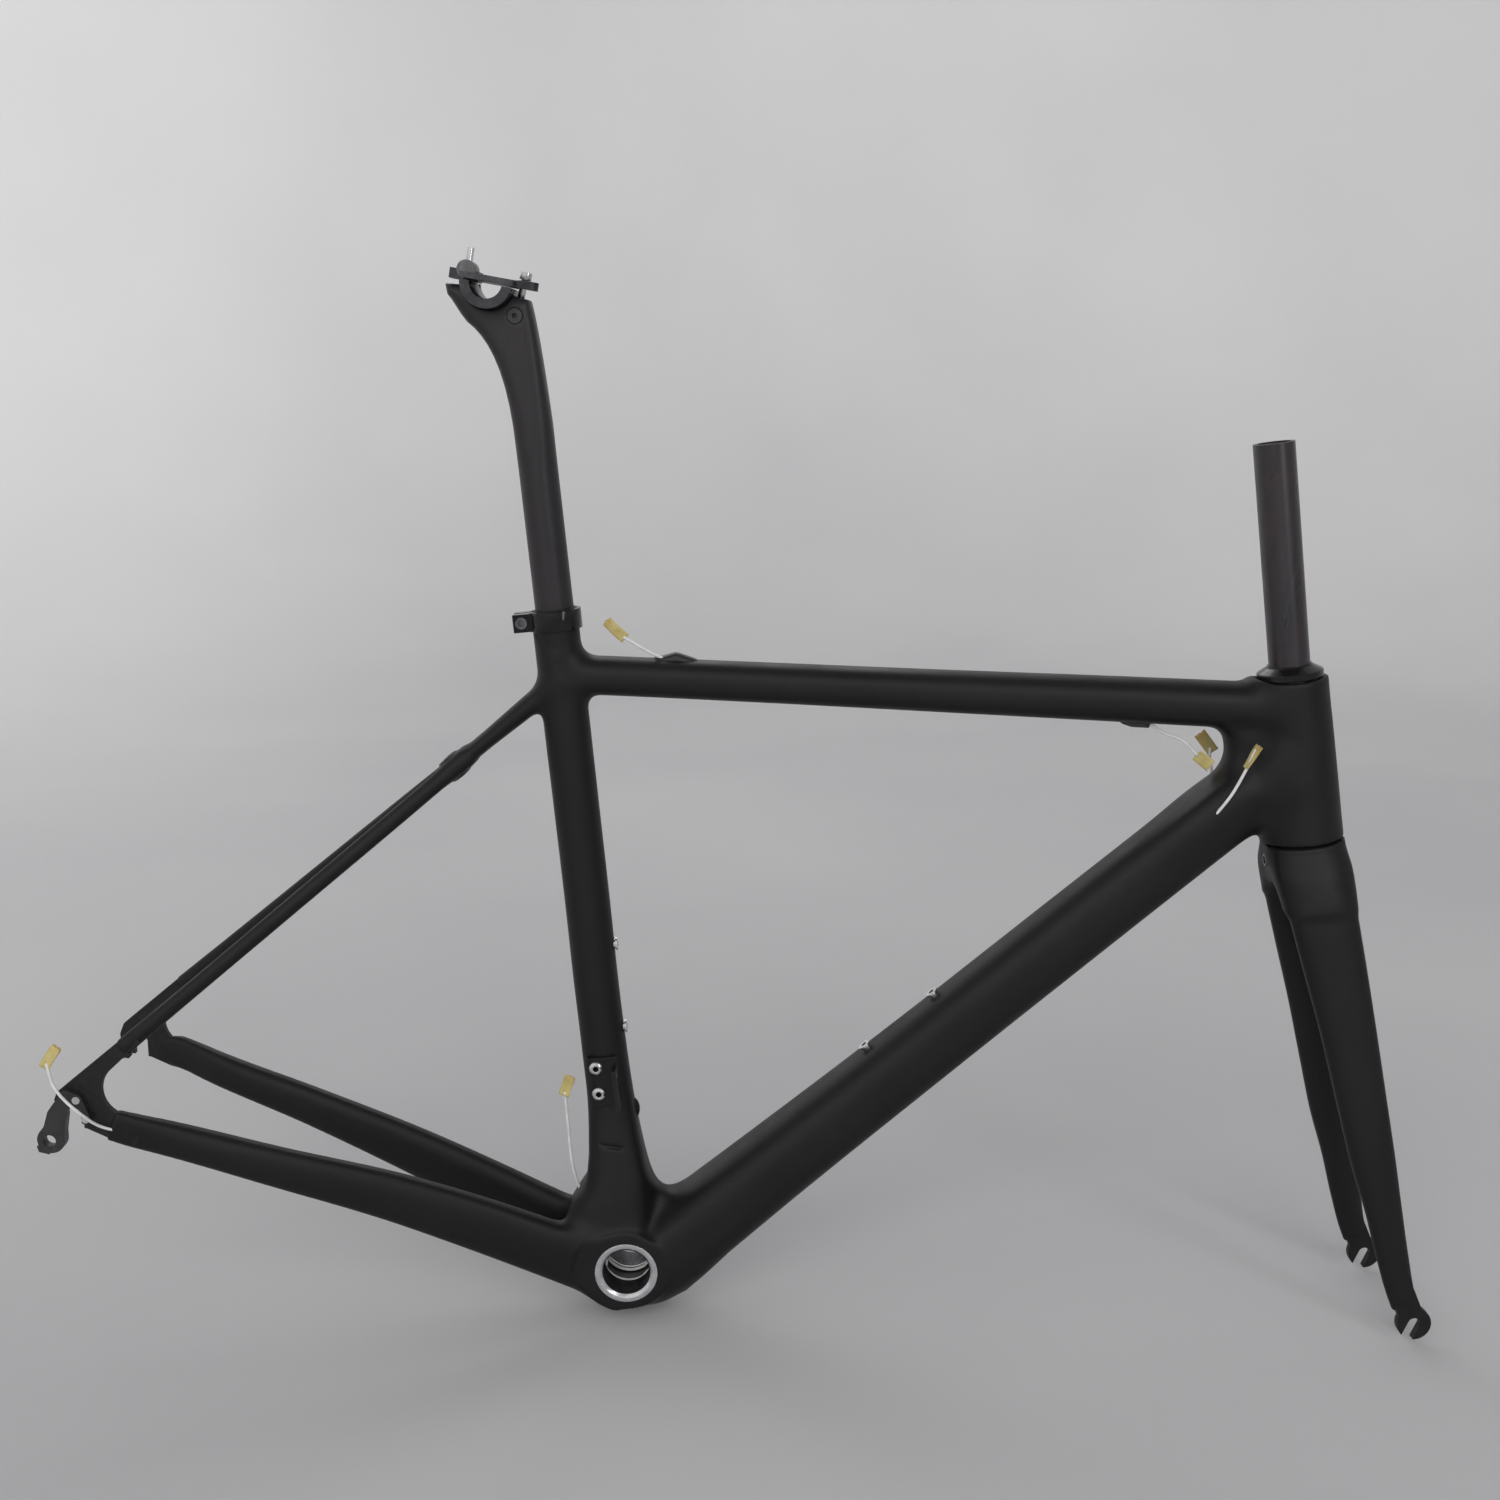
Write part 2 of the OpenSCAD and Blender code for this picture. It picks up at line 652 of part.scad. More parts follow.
// Rubber plug in the front of the seat tube, above the shell.
module cable_exit_guide() {
    color("#101011") on_seat_tube() difference() {
        hull() for (z = [112, 122]) translate([0, 0, z]) rotate([0, 90, 0]) cylinder(r = 5, h = 20.5, $fn = 32);
        cylinder(r = seat_r + 0.7, h = 200);
    }
}

// ---- Headset -----------------------------------------------------------------------------
// Each bearing has two races with a rounded track between them, and a ring of balls in a cage.
// Heights are above the crown seat.

// A race between two radii, with the track cut into it.
module race(r_in, r_out, z, track) {
    on_steerer() rotate_extrude() difference() {
        translate([r_in, z]) square([r_out - r_in, race_h]);
        translate(track) circle(r = ball_r + 0.04);
    }
}
module balls(track, count) {
    on_steerer() for (i = [0:count - 1]) rotate([0, 0, 360 * i / count]) translate([track[0], 0, track[1]])
        sphere(r = ball_r, $fn = 24);
}
module ball_cage(track, count) {
    on_steerer() difference() {
        translate([0, 0, track[1] - 2.2]) tube(track[0] + 0.45, track[0] - 0.45, 4.4);
        for (i = [0:count - 1]) rotate([0, 0, 360 * i / count]) translate([track[0] - 3, 0, track[1]])
            rotate([0, 90, 0]) cylinder(r = ball_r + 0.05, h = 6, $fn = 24);
    }
}
module upper_outer_race() {
    color("dimgray") race(up_track[0] + 0.55, up_seat_r - 0.03, up_race_z, up_track);
}
module upper_inner_race() {
    color("dimgray") race(15.15, up_track[0] - 0.55, up_race_z, up_track);
}
module lower_outer_race() {
    color("dimgray") race(low_track[0] + 0.55, low_seat_r - 0.03, low_race_z, low_track);
}
module lower_inner_race() {
    color("dimgray") race(steerer_foot_r + 0.15, low_track[0] - 0.55, low_race_z, low_track);
}
module upper_bearing_balls() {
    color("silver") balls(up_track, up_balls);
}
module lower_bearing_balls() {
    color("silver") balls(low_track, low_balls);
}
module upper_ball_cage() {
    color("tan") ball_cage(up_track, up_balls);
}
module lower_ball_cage() {
    color("tan") ball_cage(low_track, low_balls);
}
module crown_race() {
    color("dimgray") on_steerer() rotate_extrude()
        polygon([[steerer_foot_r + 0.03, 0.02 - crown_gap], [24.5, 0.02 - crown_gap],
            [24.5, low_race_z - 0.3], [low_track[0] - 0.6, low_race_z - 0.3],
            [low_track[0] - 0.6, low_race_z - 0.01], [steerer_foot_r + 0.03, low_race_z - 0.01]]);
}
// Split wedge ring that centres the steerer in the upper bearing.
module compression_ring() {
    color("dimgray") on_steerer() difference() {
        union() {
            translate([0, 0, up_race_z + 1]) cylinder(r = 15.1, h = race_h);
            translate([0, 0, up_race_z + race_h + 0.1]) cylinder(r = 17, h = 1.4);
        }
        translate([0, 0, up_race_z]) cylinder(r = steerer_r + 0.03, h = 20);
        translate([0, -0.5, up_race_z]) cube([30, 1, 20]);
    }
}
module headset_cover() {
    color("#101011") on_steerer() translate([0, 0, cover_z]) rotate_extrude() difference() {
        polygon([[steerer_r + 0.04, 0], [22.4, 0], [23, 0.6], [23, 4.2], [22.4, 5],
            [16.4, 8.4], [15.4, 9.6], [steerer_r + 0.04, 9.6]]);
        translate([0, -1]) square([19.5, 2.6]);
    }
}

// ---- Fork --------------------------------------------------------------------------------

module blade() {
    loft([
        fork_ring(12, 0.5, 21, 25, 11),
        fork_ring(50, 2.8, 30, 23.7, 11.5),
        fork_ring(140, 12.7, 39.5, 19.8, 10),
        fork_ring(238, 22.2, 47, 15.7, 8.5),
        fork_ring(320, 31.5, 52, 11.3, 5.6),
        fork_ring(346, 36.5, 53.25, 10.6, 3.9)]);
}
module blade_core() {
    loft([
        fork_ring(36, 2, 27.3, 21.5, 8.8),
        fork_ring(140, 12.7, 39.5, 18, 8.2),
        fork_ring(238, 22.2, 47, 14, 6.7),
        fork_ring(318, 31.2, 51.9, 9.5, 4)]);
}
module fork_blades() {
    color("#232324") difference() {
        union() {
            mirrored_pair() blade();
            loft([
                fork_ring(crown_gap, 0, 0, 28, 28, 1),
                fork_ring(10, 0, 0, 28, 29.5, 0.95),
                fork_ring(24, 0.5, 0, 26, 35.5),
                fork_ring(38, 1.5, 0, 23.5, 38)]);
        }
        mirrored_pair() blade_core();
        on_steerer() translate([-60, 0, -arch_down]) rotate([0, 90, 0]) cylinder(r = arch_r, h = 120);
        on_steerer() translate([-60, -arch_r, -arch_down - 60]) cube([120, 2 * arch_r, 60]);
        on_steerer() translate([0, 0, -26]) cylinder(r = steerer_foot_r + 0.02, h = 60);
        on_steerer() translate([-60, 0, -brake_drop]) rotate([0, 90, 0]) cylinder(r = sleeve_hole_r, h = 120);
        mirrored_pair() side_plate(front_hub_w / 2 - 0.02, blade_out + 0.02) fork_end_outline();
    }
}
module steerer_tube() {
    color("#2b2a2c") on_steerer() difference() {
        union() {
            translate([0, 0, -26]) cylinder(r = steerer_foot_r, h = 36);
            translate([0, 0, 10 - eps]) cylinder(r1 = steerer_foot_r, r2 = steerer_r - 0.15, h = 50);
            translate([0, 0, 50]) cylinder(r = steerer_r - 0.15, h = steerer_l - 60);
            translate([0, 0, cover_z + 9.6]) cylinder(r = steerer_r, h = steerer_l - cover_z - 9.6);
        }
        translate([0, 0, 20]) cylinder(r = 11.6, h = steerer_l);
        translate([0, 0, -27]) cylinder(r1 = 16, r2 = 11.6, h = 47 + eps);
        translate([-60, 0, -brake_drop]) rotate([0, 90, 0]) cylinder(r = sleeve_hole_r, h = 120);
    }
}
module front_brake_sleeve() {
    color("silver") on_steerer() translate([-28, 0, -brake_drop])
        rotate([0, 90, 0]) tube(sleeve_r, brake_hole_r, 56);
}
module fork_end_outline() {
    translate(front_axle) circle(r = 12.4);
    hull() {
        translate(front_axle) circle(r = 9);
        translate(steer_pt(342, 35.5)) circle(r = 8.6);
    }
    hull() {
        translate(steer_pt(342, 35.5)) circle(r = 8.6);
        translate(steer_pt(322, 31.5)) circle(r = 7);
    }
}
module fork_ends() {
    color("#262627") difference() {
        mirrored_pair() side_plate(front_hub_w / 2, blade_out) fork_end_outline();
        cross_bar(front_axle, axle_slot_r, -90, 90);
        translate(at3(front_axle)) rotate([0, tip_lean, 0]) translate([-axle_slot_r, -90, -40])
            cube([2 * axle_slot_r, 180, 40]);
    }
}

// ---- Seatpost and saddle clamp -----------------------------------------------------------

function curve(p, q, r, s, n = 6) = [for (i = [0:n]) let (t = i / n, u = 1 - t)
    u * u * u * p + 3 * u * u * t * q + 3 * u * t * t * r + t * t * t * s];

module post_head_outline() {
    front = [[0, 0], [18.8, -5.4], [28.3, -6.2]];
    translate(tilt_axis) polygon(concat(front,
        curve([28.3, -6.2], [33.8, -18], [44, -48], post_side(626, 1)),
        [post_side(590, 1), post_side(590, -1)],
        curve(post_side(612, -1), [20.5, -57], [4.5, -36], [-11.5, -28]),
        curve([-11.5, -28], [-18.5, -22.5], [-23, -15], [-27.5, -12.2], 3),
        [[-30, -5], [-20, -4.2]]));
}
// A point on the post's front (1) or rear (-1) line, measured from the tilt axis.
function post_side(up, side) = seat_pt(up, side * post_r) - tilt_axis;
module seatpost() {
    color("#232324") difference() {
        union() {
            on_seat_tube() translate([0, 0, post_low]) cylinder(r = post_r, h = post_straight - post_low);
            side_plate(-13, 13) post_head_outline();
        }
        on_seat_tube() translate([0, 0, post_low - 1]) cylinder(r = 11.9, h = post_straight - 8 - post_low);
        cross_bar(tilt_axis, cradle_r + 0.08, -30, 30);
        cross_bar(nut_front, 5.06, -30, 30);
        translate(at3(nut_front)) aim(nose_dir) cylinder(r1 = 2.9, r2 = 4, h = 30);
        translate(at3(nut_front)) aim(nose_dir) translate([0, 0, -8]) cylinder(r = 3.2, h = 8 + eps);
        translate(at3([bolt_rear_x, bolt_rear_head])) cylinder(r = 3.1, h = 40);
        translate(at3([bolt_rear_x, bolt_rear_head - 30])) cylinder(r = 4.8, h = 30.15);
    }
}
// Turns +Z to a direction in the centre plane.
module aim(dir) {
    rotate([0, atan2(dir[0], dir[1]), 0]) children();
}
module front_barrel_nut() {
    color("#222223") difference() {
        cross_bar(nut_front, 5, -12.5, 12.5);
        translate(at3(nut_front)) aim(nose_dir) translate([0, 0, -10]) cylinder(r = bolt_r + 0.05, h = 20);
        translate(at3(nut_front, -12.6)) rotate([-90, 0, 0]) cylinder(r = 2, h = 3, $fn = 6);
    }
}
module cap_bolt(shank) {
    difference() {
        union() {
            cylinder(r = 4.1, h = 5);
            translate([0, 0, -shank]) cylinder(r = bolt_r, h = shank + eps);
        }
        translate([0, 0, 2]) cylinder(r = 2.3, h = 4, $fn = 6);
    }
}
module front_clamp_bolt() {
    color("silver") translate(at3(head_front)) aim(nose_dir) cap_bolt(front_bolt_l);
}
module rear_clamp_bolt() {
    color("silver") translate(at3([bolt_rear_x, bolt_rear_head])) mirror([0, 0, 1]) cap_bolt(rear_bolt_l);
}
module rear_barrel_nut() {
    color("#5a5a5c") difference() {
        cross_bar(nut_rear, 6.4, -9.5, 9.5);
        translate(at3(nut_rear)) translate([0, 0, -10]) cylinder(r = bolt_r + 0.08, h = 20);
    }
}
module rail_grooves() {
    for (y = [-0.5, 0.5]) translate([tilt_axis[0] - 50, y * rail_gauge, rail_z]) rotate([0, 90, 0])
        cylinder(r = rail_r, h = 100);
}
module lower_cradle() {
    color("#1a1a1b") difference() {
        cross_bar(tilt_axis, cradle_r, -cradle_half_w, cradle_half_w);
        cross_bar(tilt_axis, 11, -40, 40);
        translate(at3(tilt_axis + [-50, -1.2], -50)) cube([100, 100, 50]);
        rail_grooves();
        translate(at3([bolt_rear_x, clamp_up - 30])) cylinder(r = 3.6, h = 60);
    }
}
module upper_clamp() {
    color("#1a1a1b") difference() {
        translate(at3(tilt_axis)) union() {
            translate([-18, -cradle_half_w, plate_low]) cube([36, 2 * cradle_half_w, plate_mid - plate_low]);
            translate([-27.5, -9.3, -1.1]) cube([20, 18.6, 6.9]);
            hull() {
                translate([10, -9, plate_low]) cube([5, 18, plate_mid - plate_low]);
                translate([26.5, 0, plate_low]) cylinder(r = 5.5, h = plate_top - plate_low);
            }
        }
        rail_grooves();
        cross_bar(nut_rear, 6.5, -9.6, 9.6);
        translate(at3([bolt_rear_x, clamp_up - 30])) cylinder(r = 3.4, h = 60);
        translate(at3(nut_front)) aim(nose_dir) cylinder(r = 3.6, h = 50);
    }
}

front_triangle();
chainstay_right();
chainstay_left();
seatstays();
dropout_right();
dropout_left();
bb_cup_right();
bb_cup_left();
derailleur_hanger();
hanger_screws();
rear_brake_sleeve();
bottle_bosses();
seat_collar();
seat_collar_bolt();
front_mech_bracket();
front_mech_rivets();
brake_port_rear();
brake_port_front();
gear_port_right();
gear_port_left();
cable_exit_guide();
brake_liner();
rear_gear_liner();
front_gear_liner();
liner_tags();
upper_outer_race();
lower_outer_race();
upper_bearing_balls();
upper_ball_cage();
lower_bearing_balls();
lower_ball_cage();
fork_blades();
steerer_tube();
fork_ends();
front_brake_sleeve();
crown_race();
lower_inner_race();
upper_inner_race();
compression_ring();
headset_cover();
seatpost();
front_barrel_nut();
front_clamp_bolt();
rear_clamp_bolt();
rear_barrel_nut();
lower_cradle();
upper_clamp();
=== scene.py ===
import json
import math

import bpy
import numpy as np
import openvdb
from mathutils import Matrix, Vector


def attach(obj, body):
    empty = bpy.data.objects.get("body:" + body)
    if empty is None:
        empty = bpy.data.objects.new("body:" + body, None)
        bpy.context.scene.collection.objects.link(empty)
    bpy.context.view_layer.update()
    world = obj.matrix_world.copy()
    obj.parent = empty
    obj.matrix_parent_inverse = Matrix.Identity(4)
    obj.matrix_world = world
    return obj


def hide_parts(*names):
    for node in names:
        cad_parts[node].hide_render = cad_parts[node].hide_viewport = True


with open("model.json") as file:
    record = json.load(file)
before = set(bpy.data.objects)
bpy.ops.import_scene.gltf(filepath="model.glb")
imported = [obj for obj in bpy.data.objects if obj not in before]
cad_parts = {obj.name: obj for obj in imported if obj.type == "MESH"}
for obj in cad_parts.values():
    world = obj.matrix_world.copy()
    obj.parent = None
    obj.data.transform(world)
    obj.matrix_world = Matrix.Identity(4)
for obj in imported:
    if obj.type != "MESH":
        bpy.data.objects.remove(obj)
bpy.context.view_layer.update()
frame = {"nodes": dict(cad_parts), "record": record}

# Shapes are worked out in millimetres, in the CAD frame, and turned to metres last. The stage, the
# lights and the camera are in metres.
MM = 0.001


def unit(v):
    v = np.array(v, float)
    return v / np.linalg.norm(v)


# ---- Places and sizes, as in the part's design ----

HEAD_ANGLE = math.radians(72.3)
SEAT_ANGLE = math.radians(74.6)
STAY_ANGLE = math.radians(49.45)

# Directions and places in the centre plane are (x, z); the shell's centre is the origin.
STEER_DOWN = np.array([math.cos(HEAD_ANGLE), -math.sin(HEAD_ANGLE)])
STEER_FWD = np.array([math.sin(HEAD_ANGLE), math.cos(HEAD_ANGLE)])
SEAT_UP = np.array([-math.cos(SEAT_ANGLE), math.sin(SEAT_ANGLE)])
SEAT_FWD = np.array([math.sin(SEAT_ANGLE), math.cos(SEAT_ANGLE)])
STAY_SLOPE = np.array([math.cos(STAY_ANGLE), math.sin(STAY_ANGLE)])

AXLE_HEIGHT = 74.0
FRONT_AXLE = np.array([575.76, AXLE_HEIGHT])
REAR_AXLE = np.array([-403.27, AXLE_HEIGHT])
FORK_DROP = 363.0       # front axle below the crown, along the steering axis
FORK_RAKE = 41.0        # front axle ahead of the steering axis
CROWN = FRONT_AXLE - FORK_DROP * STEER_DOWN - FORK_RAKE * STEER_FWD
HEAD_LENGTH = 118.0
LOWER_SEAT_R, UPPER_SEAT_R = 26.1, 20.6
DOWN_MEETS_HEAD = 62.0  # where the down tube's middle meets the steering axis, above the crown
DOWN_FOOT = np.array([17.0, 0.0])
BRIDGE = np.array([-184.5, 351.5])
BRAKE_HOLE_R = 4.62
BRAKE_BOSS_R, BRAKE_BOSS_HALF = 7.4, 8.2

SHELL_FACE = 33.6       # side faces of the bottom bracket shell, from the centre plane
SHELL_BORE_R = 21.05
POD_R, POD_HALF = 30.4, 33.4
CUP_HALF = 34.0         # outer faces of the two threaded cups

SEAT_TUBE_TOP = 481.0
POST_R = 13.6
POST_BORE_R = 13.8
POST_BORE_FOOT = 268.0  # clear of the post at its lowest
POST_INNER_R = 11.6
POST_FOOT = 365.0       # lower end of the seatpost, up the seat line
TILT_AXIS = np.array([-207.5, 688.0])
NUT_FRONT = TILT_AXIS + np.array([20.5, -18.3])
GEAR_PORT = np.array([352.0, 413.5])


def steer_pt(down, fwd=0.0):
    return CROWN + down * STEER_DOWN + fwd * STEER_FWD


def seat_pt(up, fwd=0.0):
    return up * SEAT_UP + fwd * SEAT_FWD


def at3(p, y=0.0):
    return np.array([p[0], y, p[1]], float)


DOWN_DIR = unit(steer_pt(-DOWN_MEETS_HEAD) - DOWN_FOOT)


# ---- Distance fields ----
#
# A shape is an array of signed distances on a grid, negative inside. The last numbers given to smin
# and smax are how wide a fillet or a rounded edge comes out.

TRACK_ROWS = 400
CRISP = 0.1             # edge that looks sharp
OVERLAP = 1.0           # how far half a bar runs past the centre plane


class Grid:
    """Points of a box on the left of the centre plane (y >= 0), in millimetres."""

    def __init__(self, low, high, step):
        self.low, self.step = np.array(low, float), step
        n = np.ceil((np.array(high) - self.low) / step).astype(int) + 1
        line = [(self.low[i] + step * np.arange(n[i])).astype(np.float32) for i in range(3)]
        self.x, self.y, self.z = line[0][:, None, None], line[1][None, :, None], line[2][None, None, :]


def along(g, origin, direction):
    """How far along a line in the centre plane, and how far to its left when it is seen from -Y."""
    dx, dz = g.x - origin[0], g.z - origin[1]
    return dx * direction[0] + dz * direction[1], dz * direction[0] - dx * direction[1]


def track(stations):
    """A smooth dense table through stations, whose first column is the distance along a line."""
    s = np.array(sorted(stations), float)
    t = np.linspace(s[0, 0], s[-1, 0], TRACK_ROWS)
    slope = np.gradient(s[:, 1:], s[:, 0], axis=0)
    j = np.clip(np.searchsorted(s[:, 0], t, side="right") - 1, 0, len(s) - 2)
    w = (s[j + 1, 0] - s[j, 0])[:, None]
    f = (t - s[j, 0])[:, None] / w
    h00, h10 = 2 * f**3 - 3 * f**2 + 1, f**3 - 2 * f**2 + f
    h01, h11 = -2 * f**3 + 3 * f**2, f**3 - f**2
    values = h00 * s[j, 1:] + h10 * w * slope[j] + h01 * s[j + 1, 1:] + h11 * w * slope[j + 1]
    return np.column_stack([t, values])


def read(table, s):
    """The table's other columns at each distance s."""
    return [np.interp(s, table[:, 0], table[:, i]).astype(np.float32) for i in range(1, table.shape[1])]


def smin(a, b, k):
    """Two shapes joined with a fillet."""
    h = np.maximum(k - np.abs(a - b), 0) / k
    return np.minimum(a, b) - h * h * (k / 4)


def smax(a, b, k):
    """What two shapes share, with rounded edges. With -b it cuts b away from a."""
    return -smin(-a, -b, k)


def oval(u, v, a, b, n):
    """Distance to a section of half sizes a and b. At n = 2 it is an ellipse, and squarer above."""
    p, q = np.abs(u) / a + 1e-5, np.abs(v) / b + 1e-5
    g = (p**n + q**n) ** (1 / n)
    return (g - 1) / np.sqrt(((p / g) ** (n - 1) / a) ** 2 + ((q / g) ** (n - 1) / b) ** 2)


def rod(g, line, stations, cap, y_sign=1):
    """A tube beside a line in the centre plane.

    Stations: distance along, offset, half depth, y, half width, squareness.
    """
    s, u = along(g, *line)
    off, half_d, y, half_w, n = read(track(stations), s)
    d = oval(u - off, g.y - y_sign * y, half_d, half_w, n)
    return smax(smax(d, stations[0][0] - s, cap), s - stations[-1][0], cap)


def on_line(line, x, z):
    """A place in the centre plane as distance along a line and distance to its left."""
    d = np.array([x, z]) - line[0]
    return d @ line[1], -d[0] * line[1][1] + d[1] * line[1][0]


def member(g, line, stations, cap=4.0):
    """A tube of the main triangle, flat: edge distance, half depth, half width, squareness."""
    s, u = along(g, *line)
    off, half_d, half_w, n = read(track(stations), s)
    e = np.abs(u - off) - half_d
    e = smax(smax(e, stations[0][0] - s, cap), s - stations[-1][0], cap)
    return [e, half_d, half_w, n]


def join(a, b, k, sink=0.0):
    """Two flat tubes joined with a web of radius about k. Sink is how much thinner the web is than they."""
    h = np.clip(0.5 + 0.5 * (b[0] - a[0]) / k, 0, 1)
    h = h * h * (3 - 2 * h)
    half_d, half_w, n = [x * h + y * (1 - h) for x, y in zip(a[1:], b[1:])]
    edge = np.clip((np.minimum(a[0], b[0]) + 13) / 14, 0, 1)
    web = 4 * h * (1 - h) * edge * edge * (3 - 2 * edge)
    return [smin(a[0], b[0], k), half_d, half_w * (1 - sink * web), n]


def blur(field, cells):
    """A soft average over about this many cells each way."""
    kernel = np.hanning(2 * cells + 3)[1:-1]
    kernel /= kernel.sum()
    plane = np.pad(field[:, 0, :], cells, mode="edge")
    plane = np.apply_along_axis(np.convolve, 0, plane, kernel, "valid")
    plane = np.apply_along_axis(np.convolve, 1, plane, kernel, "valid")
    return plane[:, None, :].astype(np.float32)


def pillow(g, flat_tube, soft=0.0):
    """The solid whose outline in the centre plane is the flat tube's, rounded off sideways."""
    e, half_d, half_w, n = flat_tube
    if soft:
        cells = int(soft / g.step)
        deep = np.clip((-e - 2) / 9, 0, 1)
        e = e + deep * (blur(e, cells) - e)
        half_d, half_w, n = blur(half_d, cells), blur(half_w, cells), blur(n, cells)
    p = np.maximum(1 + e / half_d, 0) + 1e-5
    px, pz = np.gradient(p[:, 0, :], g.step)
    lean = np.sqrt(px**2 + pz**2)[:, None, :] + 1e-4
    q = np.abs(g.y) / half_w + 1e-5
    r = (p**n + q**n) ** (1 / n)
    return (r - 1) / np.sqrt(((p / r) ** (n - 1) * lean) ** 2 + ((q / r) ** (n - 1) / half_w) ** 2)


def bar(g, radius, half_length, edge=CRISP):
    """The left half of a round bar through the shell, with a little of the right half."""
    return smax(np.hypot(g.x, g.z) - radius, smax(g.y - half_length, -OVERLAP - g.y, CRISP), edge)


def spindle(g, line, radii, s0, s1, edge=0.5):
    """A round form about a line in the centre plane, its radius given along it."""
    s, u = along(g, *line)
    r = read(track(radii), s)[0] if len(radii) > 1 else radii[0][1]
    return smax(smax(np.sqrt(u * u + g.y**2) - r, s0 - s, edge), s - s1, edge)


# ---- Meshes ----

def make_object(name, points, faces):
    mesh = bpy.data.meshes.new(name)
    mesh.from_pydata([tuple(p) for p in np.asarray(points, float) * MM], [], [tuple(f) for f in faces])
    mesh.validate()
    return place_mesh(name, mesh)


def place_mesh(name, mesh):
    mesh.shade_smooth()
    obj = bpy.data.objects.new(name, mesh)
    bpy.context.scene.collection.objects.link(obj)
    return obj


def quad_object(name, points, quads):
    """The same for a big mesh that is all quads."""
    mesh = bpy.data.meshes.new(name)
    mesh.vertices.add(len(points))
    mesh.vertices.foreach_set("co", (points * MM).astype(np.float32).ravel())
    mesh.loops.add(quads.size)
    mesh.loops.foreach_set("vertex_index", quads.astype(np.int32).ravel())
    mesh.polygons.add(len(quads))
    mesh.polygons.foreach_set("loop_start", np.arange(0, quads.size, 4, dtype=np.int32))
    mesh.update(calc_edges=True)
    mesh.validate()
    return place_mesh(name, mesh)


def relax(points, quads, rounds):
    """Evens out the lattice of a skin a little, without shrinking it."""
    edges = np.vstack([quads[:, [i, (i + 1) % 4]] for i in range(4)])
    count = np.bincount(edges[:, 0], minlength=len(points)) + np.bincount(edges[:, 1], minlength=len(points))
    for step in [0.5, -0.52] * rounds:
        mean = np.zeros_like(points)
        for axis in range(3):
            mean[:, axis] = (np.bincount(edges[:, 0], points[edges[:, 1], axis], len(points))
                             + np.bincount(edges[:, 1], points[edges[:, 0], axis], len(points))) / count
        points = points + step * (mean - points)
    return points


def skin(name, g, left, right=None, rounds=2):
    """The surface where the field is zero, on both sides of the centre plane."""
    right = left if right is None else right
    band = 4 * g.step
    d = np.concatenate([right[:, :0:-1], left], axis=1)
    d = np.clip(d, -band, band).astype(np.float32)
    low = g.low.copy()
    low[1] -= g.step * (d.shape[1] // 2)
    volume = openvdb.FloatGrid(float(band))
    volume.copyFromArray(np.ascontiguousarray(d), ijk=(0, 0, 0))
    points, _, quads = volume.convertToPolygons(isovalue=0.0, adaptivity=0.0)
    quads = np.asarray(quads)
    points = relax(np.asarray(points, float), quads, rounds)
    return quad_object(name, points * g.step + low, quads)


def lathe(name, profile, axis_origin, axis, segments):
    """Spins a closed outline of (radius, height) about an axis."""
    axis = unit(axis)
    side = unit(np.cross(axis, [0.3, 0.2, 0.9]))
    other = np.cross(axis, side)
    points, faces, n = [], [], len(profile)
    for i in range(segments):
        t = 2 * math.pi * i / segments
        out = side * math.cos(t) + other * math.sin(t)
        points += [axis_origin + out * r + axis * h for r, h in profile]
    for i in range(segments):
        for j in range(n):
            a, b = i * n, ((i + 1) % segments) * n
            faces.append((a + j, a + (j + 1) % n, b + (j + 1) % n, b + j))
    return make_object(name, points, faces)


def spline(points, per=8):
    """Points along a smooth curve through the given ones."""
    p = np.array(points, float)
    p = np.vstack([2 * p[0] - p[1], p, 2 * p[-1] - p[-2]])
    out = []
    for i in range(1, len(p) - 2):
        for k in range(per):
            t = k / per
            out.append(0.5 * (2 * p[i] + (p[i + 1] - p[i - 1]) * t
                              + (2 * p[i - 1] - 5 * p[i] + 4 * p[i + 1] - p[i + 2]) * t * t
                              + (3 * p[i] - p[i - 1] - 3 * p[i + 1] + p[i + 2]) * t**3))
    return np.array(out + [p[-2]])


def frames_along(line):
    """Directions across a line in space, carried along it without twisting."""
    tangent = np.gradient(line, axis=0)
    tangent /= np.linalg.norm(tangent, axis=1)[:, None]
    across = unit(np.cross(tangent[0], [0.2, 1.0, 0.1]))
    result = []
    for t in tangent:
        across = unit(across - t * np.dot(across, t))
        result.append((t, across, np.cross(t, across)))
    return result


def ring(centre, radius, u, v, sides):
    """Points of a circle in the plane of u and v."""
    turns = np.linspace(0, 2 * math.pi, sides, endpoint=False)
    return [centre + radius * (u * math.cos(a) + v * math.sin(a)) for a in turns]


